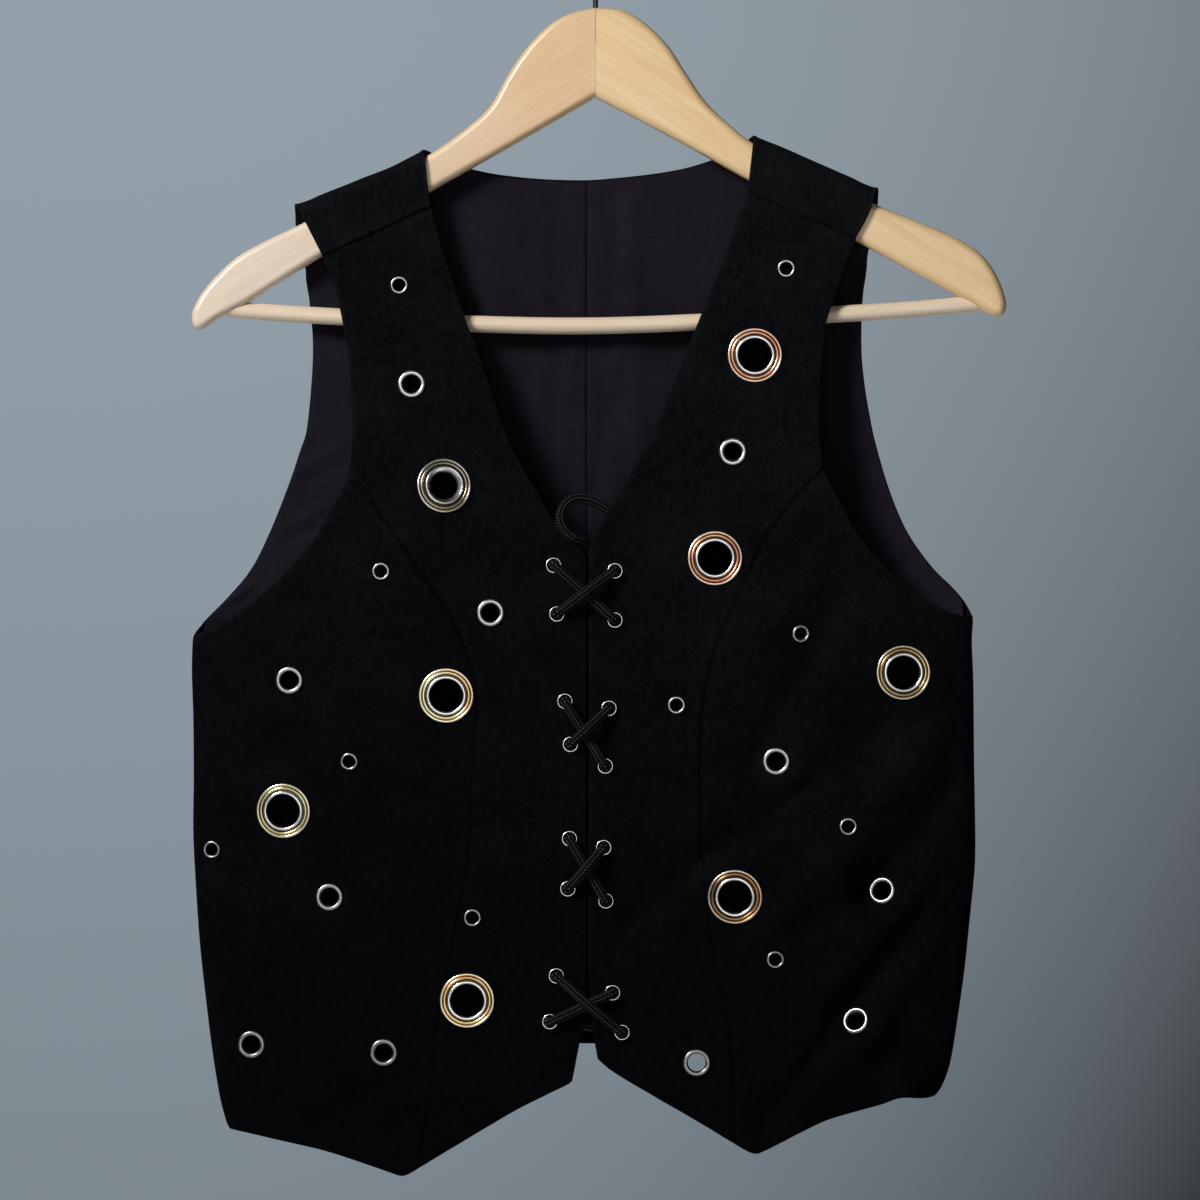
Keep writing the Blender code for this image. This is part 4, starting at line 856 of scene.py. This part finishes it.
def sweep(name, path, sides, radius):
    """Roll a long grid round a path; its UV counts turns and metres."""
    bm = bmesh.new()
    uv_layer = bm.loops.layers.uv.new("run")
    path = [Vector(p) for p in path]
    last = len(path) - 1
    t = (path[1] - path[0]).normalized()
    ref = Vector((0, 1, 0)) if abs(t.y) < 0.8 else Vector((1, 0, 0))
    frames, dist = [], 0.0
    for i, p in enumerate(path):
        t = (path[min(i + 1, last)] - path[max(i - 1, 0)]).normalized()
        ref = (ref - t * ref.dot(t)).normalized()
        dist += (p - path[max(i - 1, 0)]).length
        frames.append((p, ref.copy(), t.cross(ref), dist))
    spot = {}
    for v in bmesh.ops.create_grid(bm, x_segments=sides, y_segments=last, size=1.0)["verts"]:
        k = int(round((v.co.x + 1) / 2 * sides))
        i = int(round((v.co.y + 1) / 2 * last))
        spot[v] = (k, i)
        p, out, up, far = frames[i]
        g = (k % sides) * 2 * math.pi / sides
        v.co = p + (out * math.cos(g) + up * math.sin(g)) * radius((k % sides) / sides, far)
    for f in bm.faces:
        f.smooth = True
        for loop in f.loops:
            k, i = spot[loop.vert]
            loop[uv_layer].uv = (k / sides, frames[i][3])
    bmesh.ops.remove_doubles(bm, verts=[v for v, (k, i) in spot.items() if k in (0, sides)], dist=1e-7)
    for at, push in ((path[0], path[0] - path[1]), (path[-1], path[-1] - path[-2])):
        rim = [e for e in bm.edges if e.is_boundary and (e.verts[0].co - at).length < 0.005]
        out = bmesh.ops.extrude_edge_only(bm, edges=rim)["geom"]
        tip = [g for g in out if isinstance(g, bmesh.types.BMVert)]
        for v in tip:
            v.co = at + (v.co - at) * 0.55 + push.normalized() * (v.co - at).length * 0.4
        bmesh.ops.contextual_create(bm, geom=tip)
    bmesh.ops.recalc_face_normals(bm, faces=bm.faces)
    return put(name, bm)


def plait(u, dist):
    """Radius of a plaited cord: seven long columns, each a chain of small stitches."""
    lane = COLUMNS * u
    col = abs(math.sin(math.pi * lane)) ** 0.6
    odd = int(lane + 1e-6) % 2
    step = dist / STITCH + 0.5 * odd + (lane % 1.0 - 0.5) * (-0.7 if odd else 0.7)
    return (LACE_R - 0.36 + 0.26 * col + 0.2 * col * abs(math.sin(math.pi * step)) ** 0.6) * MM


route = dense(lace_path(), per=12)
so_far = runs(route)
marks = np.linspace(0, so_far[-1], int(so_far[-1] / 0.45) + 1)
fine = np.stack([np.interp(marks, so_far, route[:, k]) for k in range(3)], 1)
lace_route = [world(p) for p in fine][::-1]
lace = sweep("lace_cord", lace_route, 5 * COLUMNS, plait)

# ---- hanger
ARM_L = [
    (CX - 0.1, 0.0), (-12, 2.2), (-24, 8), (-37, 20.5), (-48, 36), (-58, 53.5), (-71, 65.5), (-90, 79.0),
    (-125, 98.4), (-159, 116.5), (-179, 126), (-195, 135), (-207, 146), (-215, 156), (-219.6, 166), (-218.4, 173.0),
    (-214, 174), (-205, 168), (-190, 160), (-158, 140), (-91, 100), (-45, 74), (CX - 0.1, 48.5),
]
ARM_R = [
    (CX + 0.1, 0.0), (13, 1.2), (25, 7.5), (38, 20), (48, 35), (59, 51), (72, 63.5), (84, 73.0), (118, 90.4),
    (152, 107.0), (174, 116), (193, 124), (208, 133.5), (217, 146), (221.8, 160), (220, 166.4), (214, 167),
    (199, 158), (149, 131), (83, 94), (42, 71), (CX + 0.1, 48.5),
]


def arm(name, table):
    """Saw the outline from a board and round its long edges."""
    bm = bmesh.new()
    line = even(table, 3.0)
    vs = [bm.verts.new(world((x, -BOARD / 2, d))) for x, d in line]
    made = bmesh.ops.extrude_face_region(bm, geom=[bm.faces.new(vs)])["geom"]
    bmesh.ops.translate(bm, verts=[g for g in made if isinstance(g, bmesh.types.BMVert)], vec=(0, BOARD * MM, 0))
    bmesh.ops.recalc_face_normals(bm, faces=bm.faces)
    joint = world((CX, 0, 0)).x
    rims = [e for e in bm.edges if abs(e.verts[0].co.y - e.verts[1].co.y) < 1e-6
            and not (abs(e.verts[0].co.x - joint) < 0.0004 and abs(e.verts[1].co.x - joint) < 0.0004)]
    bmesh.ops.bevel(bm, geom=rims, offset=0.0042, offset_type="OFFSET", segments=7, profile=0.5, affect="EDGES",
                    material=-1, clamp_overlap=True)
    soften(bm)
    return put(name, bm, 38)


arms = {"hanger_arm_left": arm("left_hanger_arm", ARM_L), "hanger_arm_right": arm("right_hanger_arm", ARM_R)}
BAR = [
    (-204, 0, 161.8), (-190, 0, 164), (-138, 0, 167.4), (-71, 0, 171), (-7, 0, 172.2), (55, 0, 170.2),
    (124, 0, 166.2), (170, 0, 163.4), (200, 0, 160.8), (211, 0, 159.6),
]
bar = sweep("hanger_round_bar", [world(p) for p in even(BAR, 6.0)], 32, lambda u, s: 0.0046)

WIRE, LOOP = 1.4, 18.5      # radius of the wire, and of the loop
TIP, BEND = 205, -58        # where the loop ends and starts, in degrees
REACH = 9.0                 # pull of the curve from the stem into the loop
centre = -TOP - WIRE + LOOP
bend = math.radians(BEND)
end_of_bend = np.array([CX + LOOP * math.cos(bend), centre - LOOP * math.sin(bend)])
foot = np.array([CX, centre + LOOP + 18.0])
aim = np.array([math.sin(-bend), -math.cos(bend)])
hook_line = [(CX, 0.0, 18.4), (CX, 0.0, 8.0), (CX, 0.0, -6.0), (CX, 0.0, -12.0)]
for k in range(9):
    t = k / 9
    q = (1 - t)**3 * foot + 3 * (1 - t)**2 * t * (foot + np.array([0, -REACH])) \
        + 3 * (1 - t) * t * t * (end_of_bend - aim * REACH) + t**3 * end_of_bend
    hook_line.append((q[0], 0.0, q[1]))
for k in range(41):
    a = math.radians(BEND + (TIP - BEND) * k / 40)
    hook_line.append((CX + LOOP * math.cos(a), 0.0, centre - LOOP * math.sin(a)))
wire = sweep("hook_wire", [world(p) for p in hook_line], 20, lambda u, s: WIRE * MM)


# ---- finishes
class Finish:
    """A small helper that lays out one finish from simple steps."""

    def __init__(self, name, **values):
        self.mat = bpy.data.materials.new(name)
        self.mat.use_nodes = True
        self.tree = self.mat.node_tree
        self.bsdf = self.tree.nodes["Principled BSDF"]
        for key, value in values.items():
            self.bsdf.inputs[key.replace("_", " ")].default_value = value

    def node(self, kind, ins=None, **props):
        n = self.tree.nodes.new("ShaderNode" + kind)
        for k, v in props.items():
            setattr(n, k, v)
        for k, v in (ins or {}).items():
            if isinstance(v, bpy.types.NodeSocket):
                self.tree.links.new(v, n.inputs[k])
            else:
                n.inputs[k].default_value = v
        return n

    def math(self, op, a, b=0.0, clamp=False):
        return self.node("Math", {0: a, 1: b}, operation=op, use_clamp=clamp).outputs[0]

    def add(self, a, b, clamp=False):
        return self.math("ADD", a, b, clamp)

    def mul(self, a, b, clamp=False):
        return self.math("MULTIPLY", a, b, clamp)

    def parts(self, vec):
        return tuple(self.node("SeparateXYZ", {0: vec}).outputs)

    def layer(self, name):
        return self.node("Attribute", attribute_name=name).outputs["Fac"]

    def coords(self, uv=None):
        if uv:
            return self.node("UVMap", uv_map=uv).outputs[0]
        return self.node("TexCoord").outputs["Object"]

    def mapped(self, vec, scale=(1, 1, 1), rot=(0, 0, 0), move=(0, 0, 0)):
        return self.node("Mapping", {"Vector": vec, "Scale": scale, "Rotation": rot, "Location": move}).outputs[0]

    def noise(self, vec, scale, detail=2.0, rough=0.5, warp=0.0):
        return self.node("TexNoise", {"Vector": vec, "Scale": scale, "Detail": detail, "Roughness": rough,
                                      "Distortion": warp}).outputs[0]

    def span(self, value, lo, hi, to_lo, to_hi):
        return self.node("MapRange", {0: value, 1: lo, 2: hi, 3: to_lo, 4: to_hi}).outputs[0]

    def blend(self, fac, a, b, how="MIX"):
        n = self.node("Mix", data_type="RGBA", blend_type=how, clamp_factor=True)
        for idx, v in ((0, fac), (6, a), (7, b)):
            if isinstance(v, bpy.types.NodeSocket):
                self.tree.links.new(v, n.inputs[idx])
            elif idx:
                n.inputs[idx].default_value = (*v, 1.0)
            else:
                n.inputs[idx].default_value = v
        return n.outputs[2]

    def paint(self, colour, rough=None):
        self.tree.links.new(colour, self.bsdf.inputs["Base Color"])
        if rough is not None:
            self.tree.links.new(rough, self.bsdf.inputs["Roughness"])

    def relief(self, height, strength, distance):
        n = self.node("Bump", {"Height": height, "Strength": strength, "Distance": distance})
        self.tree.links.new(n.outputs[0], self.bsdf.inputs["Normal"])


def twill(name, deep, light):
    """Black twill: steep diagonal ribs, uneven slubby yarn, paler turned edges; painted light falloff, lighter
    towards the top and the right and darker towards the hem; painted shade lines in the seams.
    """
    f = Finish(name, Roughness=0.9, Sheen_Weight=0.01, Sheen_Roughness=0.45, Specular_IOR_Level=0.004)
    f.bsdf.inputs["Sheen Tint"].default_value = (0.62, 0.68, 0.8, 1.0)
    uv = f.coords("cloth")
    ux, uy, _ = f.parts(uv)
    slub = f.noise(f.mapped(uv, (1.0, 0.22, 1.0)), 420.0, 2.0, 0.6)
    phase = f.add(f.mul(ux, 4300.0), f.mul(uy, -2400.0))
    phase = f.add(phase, f.mul(slub, 3.2))
    rib = f.span(f.math("SINE", phase), -1.0, 1.0, 0.0, 1.0)
    yarn = f.span(f.math("SINE", f.mul(uy, 7200.0)), -1.0, 1.0, 0.5, 1.0)
    weave = f.mul(rib, yarn)
    fuzz = f.noise(uv, 1500.0, 3.0, 0.65)
    mottle = f.noise(f.mapped(uv, (1.0, 0.45, 1.0)), 330.0, 4.0, 0.7)
    bloom = f.noise(uv, 26.0, 4.0, 0.6)
    wear_and_painted_light = f.layer("wear_and_painted_light")
    tone = f.add(f.mul(weave, 0.3), f.span(fuzz, 0.3, 0.7, -0.16, 0.4))
    tone = f.add(tone, f.span(mottle, 0.34, 0.68, -0.1, 0.26))
    tone = f.add(tone, f.span(bloom, 0.35, 0.7, -0.06, 0.16))
    # the tone layer lightens rubbed edges, the band beside the seams and the straps, the straps as a painted
    # highlight
    tone = f.add(tone, f.mul(wear_and_painted_light, 0.2), clamp=True)
    # painted light falloff: the cloth is lighter towards the top and the right side and darker towards the hem
    painted_light_falloff = f.mul(f.span(uy, -0.6, -0.1, 0.42, 1.6), f.span(ux, -0.1, 0.1, 1.0, 1.3))
    tone = f.mul(tone, painted_light_falloff)
    # where the tone layer is below 0 the cloth darkens to a painted shade line in the seams
    cloth = f.blend(f.mul(wear_and_painted_light, -0.8, clamp=True), f.blend(tone, deep, light), tuple(c * 0.2 for c in deep))
    f.paint(cloth, f.span(weave, 0.0, 1.0, 0.92, 0.78))
    height = f.add(weave, f.mul(f.add(fuzz, mottle), 0.6))
    f.relief(height, 0.6, 0.0003)
    return f.mat


def plain_weave(name, deep, light):
    """Soft plain weave: crossing yarns of uneven thickness."""
    f = Finish(name, Roughness=0.9, Sheen_Weight=0.02, Sheen_Roughness=0.5, Specular_IOR_Level=0.01)
    f.bsdf.inputs["Sheen Tint"].default_value = (0.75, 0.6, 0.8, 1.0)
    uv = f.coords("cloth")
    ux, uy, _ = f.parts(uv)
    warp = f.noise(f.mapped(uv, (1.0, 0.05, 1.0)), 900.0, 2.0, 0.6)
    weft = f.noise(f.mapped(uv, (0.05, 1.0, 1.0)), 900.0, 2.0, 0.6)
    a = f.math("SINE", f.add(f.mul(ux, 7800.0), f.mul(warp, 3.0)))
    b = f.math("SINE", f.add(f.mul(uy, 7800.0), f.mul(weft, 3.0)))
    weave = f.span(f.mul(a, b), -1.0, 1.0, 0.0, 1.0)
    bloom = f.noise(uv, 18.0, 3.0, 0.6)
    tone = f.add(f.mul(weave, 0.35), f.span(f.add(warp, weft), 0.7, 1.3, 0.0, 0.5))
    wear_and_painted_light = f.layer("wear_and_painted_light")
    tone = f.add(tone, f.span(bloom, 0.3, 0.7, -0.12, 0.2), clamp=True)
    # where the tone layer is below 0 the lining darkens to a painted shade line in the centre back seam
    cloth = f.blend(f.mul(wear_and_painted_light, -0.85, clamp=True), f.blend(tone, deep, light), tuple(c * 0.1 for c in deep))
    f.paint(cloth, f.span(weave, 0.0, 1.0, 0.95, 0.84))
    f.relief(f.add(weave, f.add(warp, weft)), 0.4, 0.00016)
    return f.mat


def polished(name, colour, shade, rough, warm=None, split=None, low=1.0):
    """Plated metal: cloudiness, handling marks, dark grooves of painted shade, rubbed edges with a painted
    highlight; low greys it towards the hem as a painted shade.
    """
    f = Finish(name, Metallic=1.0)
    pos = f.coords()
    cloud = f.noise(pos, 75.0, 3.0, 0.6)
    marks = f.noise(f.mapped(pos, (1.0, 1.0, 0.2), (0.4, 0.3, 0.7)), 900.0, 2.0, 0.5)
    painted_shade_wear_and_highlight = f.layer("painted_shade_wear_and_highlight")
    # from split on, the second colour takes one side of the ring; on the pale brass ring this orange side is a
    # painted reflection
    if split is not None:
        side = f.add(f.span(f.parts(pos)[0], split - 0.012, split + 0.014, 0.0, 1.0),
                      f.span(cloud, 0.3, 0.7, -0.3, 0.3), clamp=True)
    else:
        side = f.span(cloud, 0.4, 0.6, 0.0, 1.0)
    base = f.blend(side, colour, warm or tuple(c * 0.86 for c in colour))
    # pale where the layer is below 0: rubbed bright crests with a painted highlight
    base = f.blend(f.mul(painted_shade_wear_and_highlight, -0.6, clamp=True), base, (0.85, 0.81, 0.72))
    # painted shade: the shade colour fills the grooves and the hole walls
    base = f.blend(f.mul(painted_shade_wear_and_highlight, 0.92, clamp=True), base, shade)
    # painted shade: the metal darkens towards the hem, where the light falls off
    if low < 1.0:
        grey = f.span(f.parts(pos)[2], -0.66, -0.3, low, 1.0)
        base = f.blend(1.0, base, f.node("CombineColor", {0: grey, 1: grey, 2: grey}).outputs[0], "MULTIPLY")
    r = f.add(f.span(marks, 0.35, 0.65, rough - 0.02, rough + 0.03), f.mul(painted_shade_wear_and_highlight, 0.3, clamp=True))
    f.paint(base, r)
    f.relief(f.add(f.mul(marks, 0.3), cloud), 0.04, 0.00012)
    return f.mat


def timber(name, pale, deep, streak, slope, move, gloss=0.32, ends=None):
    """Clear-finished board: long grain that follows the arm, short flecks and open pores; ends tints it along the
    arm as painted highlight and shade.
    """
    f = Finish(name, Specular_IOR_Level=0.5, Coat_Weight=0.35, Coat_Roughness=0.22)
    pos = f.mapped(f.coords(), rot=(0.0, slope, 0.0), move=move)
    grain = f.noise(f.mapped(pos, (0.03, 1.0, 1.0)), 380.0, 5.0, 0.66, 0.3)
    figure = f.noise(f.mapped(pos, (0.3, 1.0, 1.0)), 60.0, 4.0, 0.55, 0.6)
    pores = f.noise(f.mapped(pos, (0.05, 1.0, 1.0)), 1100.0, 2.0, 0.6)
    fleck = f.noise(f.mapped(pos, (0.3, 1.0, 1.0)), 420.0, 2.0, 0.6)
    tone = f.blend(f.span(grain, 0.36, 0.66, 0.0, 1.0), pale, deep)
    tone = f.blend(f.span(figure, 0.5, 0.7, 0.0, 0.6), tone, streak)
    tone = f.blend(f.span(pores, 0.6, 0.72, 0.0, 0.2), tone, (deep[0] * 0.75, deep[1] * 0.62, deep[2] * 0.5))
    tone = f.blend(f.span(fleck, 0.63, 0.74, 0.0, 0.16), tone, (deep[0] * 0.8, deep[1] * 0.66, deep[2] * 0.5))
    # painted highlight and shade along the arm: a tint from one x to another
    if ends:
        far = f.parts(f.coords())[0]
        tone = f.blend(f.span(far, ends[0], ends[1], 0.0, 1.0), tone, ends[2], "MULTIPLY")
    f.paint(tone, f.span(grain, 0.3, 0.7, gloss, gloss + 0.1))
    f.relief(f.add(grain, f.mul(pores, 0.4)), 0.12, 0.0002)
    return f.mat


def braid(name):
    """Waxed plait: long columns of small slanted stitches with dark gaps between them, the dark a painted shade."""
    f = Finish(name, Roughness=0.6, Sheen_Weight=0.01, Sheen_Roughness=0.4, Specular_IOR_Level=0.03)
    uv = f.coords("run")
    ux, uy, _ = f.parts(uv)
    turns = f.add(f.mul(ux, float(COLUMNS)), 0.0001)
    lane = f.math("FRACT", turns)
    odd = f.math("MODULO", f.math("FLOOR", turns), 2.0)
    column = f.math("POWER", f.math("SINE", f.mul(lane, math.pi)), 0.8)
    slant = f.mul(f.math("SUBTRACT", lane, 0.5), f.span(odd, 0.0, 1.0, 0.7, -0.7))
    step = f.add(f.math("DIVIDE", uy, STITCH), f.add(slant, f.mul(odd, 0.5)))
    stitch = f.math("POWER", f.math("ABSOLUTE", f.math("SINE", f.mul(step, math.pi))), 0.8)
    fuzz = f.noise(f.coords(), 2400.0, 2.0, 0.6)
    knit = f.mul(column, stitch)
    tone = f.add(f.math("POWER", knit, 4.0), f.span(fuzz, 0.3, 0.7, -0.1, 0.1), clamp=True)
    # the stitch gaps are painted near black, a painted shade
    f.paint(f.blend(tone, (0.0007, 0.0007, 0.0008), (0.062, 0.062, 0.068)))
    f.relief(f.add(knit, f.mul(fuzz, 0.2)), 0.8, 0.0004)
    return f.mat


def enamel_wire(name):
    f = Finish(name, Specular_IOR_Level=0.5, Coat_Weight=0.2, Coat_Roughness=0.15)
    pos = f.coords()
    tone_marks = f.noise(pos, 420.0, 4.0, 0.65)
    skin = f.noise(pos, 1800.0, 2.0, 0.5)
    f.paint(f.blend(f.span(tone_marks, 0.62, 0.72, 0.0, 0.5), (0.006, 0.006, 0.0065), (0.05, 0.045, 0.04)),
            f.span(tone_marks, 0.3, 0.7, 0.28, 0.5))
    f.relief(skin, 0.15, 0.0001)
    return f.mat


denim = twill("black_twill_denim", (0.0009, 0.001, 0.0013), (0.0082, 0.0088, 0.0108))
lining_cloth = plain_weave("aubergine_plain_lining", (0.008, 0.0067, 0.0102), (0.0205, 0.0175, 0.0272))
lace_cloth = braid("black_braided_lace")
silver = polished("bright_silver_plate", (0.8, 0.8, 0.81), (0.035, 0.035, 0.04), 0.2)
# the satin rings are painted darker towards the hem
satin = polished("satin_silver_plate", (0.6, 0.6, 0.61), (0.03, 0.03, 0.035), 0.27, low=0.42)
# faces of the large eyelets: name, colour, painted groove shade, roughness, second colour, x where it starts
faces = [polished(*row) for row in [
    ("antique_silver_brass", (0.3, 0.28, 0.24), (0.02, 0.016, 0.012), 0.26, (0.36, 0.28, 0.17)),
    # orange right side of the pale brass ring: a painted reflection
    ("pale_brass", (0.72, 0.68, 0.42), (0.04, 0.032, 0.018), 0.22, (0.72, 0.42, 0.18), EYELETS[1][0] * MM + 0.004),
    ("olive_gold", (0.6, 0.55, 0.33), (0.035, 0.03, 0.014), 0.22, (0.5, 0.42, 0.22)),
    ("amber_gold", (0.7, 0.52, 0.25), (0.04, 0.028, 0.012), 0.22, (0.6, 0.38, 0.16)),
    ("copper_red", (0.66, 0.4, 0.26), (0.04, 0.016, 0.008), 0.22, (0.52, 0.22, 0.12)),
    ("copper_red_dark", (0.62, 0.36, 0.22), (0.035, 0.014, 0.008), 0.22, (0.46, 0.2, 0.11)),
    ("bronze_gold", (0.5, 0.36, 0.18), (0.03, 0.019, 0.01), 0.22, (0.34, 0.23, 0.12)),
    ("dark_bronze", (0.16, 0.11, 0.07), (0.014, 0.009, 0.006), 0.24, (0.42, 0.2, 0.08), EYELETS[7][0] * MM),
]]
FACE_SLOTS = ["eyelet_gold"] * 4 + ["eyelet_copper"] * 2 + ["eyelet_bronze"] * 2
# left arm: pale and cool at its tip, a painted highlight, warmer towards the hook
wood_left = timber("pinkish_beige_wood", (0.8, 0.667, 0.53), (0.745, 0.6, 0.465), (0.74, 0.57, 0.42),
                   math.radians(33), (0.0, 0.0, 0.013), ends=(-0.17, -0.03, (1.0, 0.84, 0.62)))
# right arm: slightly greyer towards its tip, a painted shade
wood_right = timber("warm_maple_wood", (0.88, 0.65, 0.365), (0.8, 0.56, 0.285), (0.79, 0.52, 0.245),
                    math.radians(-33), (0.31, 0.0, 0.4), ends=(0.05, 0.2, (0.96, 0.95, 0.96)))
wood_bar = timber("cream_bar_wood", (0.84, 0.7, 0.54), (0.77, 0.62, 0.45), (0.77, 0.61, 0.44),
                  0.0, (0.1, 0.2, 0.7), 0.4)
black_wire = enamel_wire("black_enamel_wire")


def finish(piece, material, slot, *nodes):
    piece.data.materials.clear()
    piece.data.materials.append(material)
    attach(piece, "root")
    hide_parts(*nodes)


for node, piece in fronts.items():
    finish(piece, denim, "denim", node)
finish(back, denim, "denim", "back_panel")
for node, piece in linings.items():
    finish(piece, lining_cloth, "lining", node)
finish(lace, lace_cloth, "lace", "lace")
for piece, node, kind, i in rings:
    if kind == "face":
        finish(piece, faces[i], FACE_SLOTS[i], node)
    else:
        finish(piece, silver if kind in ("rim", "lace") else satin, "eyelet_silver", node)
finish(arms["hanger_arm_left"], wood_left, "wood_left", "hanger_arm_left")
finish(arms["hanger_arm_right"], wood_right, "wood_right", "hanger_arm_right")
finish(bar, wood_bar, "wood_left", "hanger_bar")
finish(wire, black_wire, "hook_wire", "hook")

# ---- studio
bm = bmesh.new()
bmesh.ops.create_circle(bm, cap_ends=True, radius=2.2, segments=96, matrix=Matrix.Translation((0, 0, -1.2)))
floor = put("pale_floor", bm)
fl = Finish("pale_floor_paint", Roughness=0.7)
clouds = fl.span(fl.noise(fl.coords(), 3.0, 3.0), 0.3, 0.7, 0.0, 1.0)
fl.paint(fl.blend(clouds, (0.5, 0.51, 0.52), (0.54, 0.55, 0.56)))
floor.data.materials.append(fl.mat)


def lamp(name, place, aim, size, watts, colour, glint=True):
    data = bpy.data.lights.new(name, "AREA")
    data.shape = "RECTANGLE"
    data.size, data.size_y = size
    data.energy = watts
    data.color = colour
    ob = bpy.data.objects.new(name, data)
    ob.location = place
    ob.rotation_euler = (Vector(aim) - Vector(place)).to_track_quat("-Z", "Y").to_euler()
    ob.visible_camera = False
    ob.visible_glossy = glint
    bpy.context.scene.collection.objects.link(ob)


lamp("key_softbox", (-1.75, -1.9, 1.15), (0.0, 0.0, -0.36), (0.85, 0.85), 84.0, (1.0, 0.985, 0.965))
lamp("front_softbox", (0.0, -3.7, -0.3), (0.0, 0.0, -0.38), (1.6, 1.4), 6.5, (1.0, 0.99, 0.98))
lamp("back_softbox", (0.3, 3.0, -0.1), (0.0, 0.0, -0.4), (1.6, 1.4), 110.0, (1.0, 1.0, 1.0), glint=False)


def screen(*rgb):
    """A colour as light, from its 0 to 255 values on a screen."""
    return tuple(c / 255 / 12.92 if c / 255 < 0.04045 else ((c / 255 + 0.055) / 1.055) ** 2.4 for c in rgb)


def studio_air():
    """Even light on the object, and the soft grey-blue backdrop behind it, painted darker towards the lower right as
    a light falloff.
    """
    wd = bpy.data.worlds.new("studio")
    wd.use_nodes = True
    bpy.context.scene.world = wd
    f = Finish.__new__(Finish)
    f.tree = wd.node_tree
    f.tree.nodes.clear()
    rx, ry, rz = f.parts(f.node("TexCoord").outputs["Generated"])
    ahead = f.math("MAXIMUM", ry, 0.05)
    sx = f.span(f.math("DIVIDE", rx, ahead), -0.09, 0.09, 0.0, 1.0)
    sz = f.span(f.math("DIVIDE", rz, ahead), 0.09, -0.09, 0.0, 1.0)
    sx = f.math("POWER", sx, 2.7)
    # painted light falloff: the backdrop darkens towards the right and the bottom
    top = f.blend(sx, screen(148, 160, 169), screen(123, 132, 140))
    low = f.blend(sx, screen(125, 136, 145), screen(56, 59, 62))
    pane = f.blend(f.math("POWER", sz, 1.45), top, low)
    pane = f.blend(f.span(ry, 0.975, 0.992, 0.0, 1.0), screen(136, 146, 155), pane)
    seen = f.node("Background", {"Color": pane, "Strength": 1.0})
    lit = f.blend(f.span(rz, -0.4, 0.8, 0.0, 1.0), (0.2, 0.21, 0.22), (0.62, 0.64, 0.67))
    light = f.node("Background", {"Color": lit, "Strength": 0.12})
    card = f.blend(f.span(ry, -0.84, -0.97, 0.0, 1.0), (0.07, 0.073, 0.078), (1.35, 1.33, 1.3))
    glint = f.node("Background", {"Color": card, "Strength": 1.0})
    path = f.node("LightPath")
    mix = f.node("MixShader", {0: path.outputs["Is Glossy Ray"], 1: light.outputs[0], 2: glint.outputs[0]})
    mix = f.node("MixShader", {0: path.outputs["Is Camera Ray"], 1: mix.outputs[0], 2: seen.outputs[0]})
    out = f.node("OutputWorld")
    f.tree.links.new(mix.outputs[0], out.inputs[0])


studio_air()
bpy.context.scene.view_settings.view_transform = "Standard"
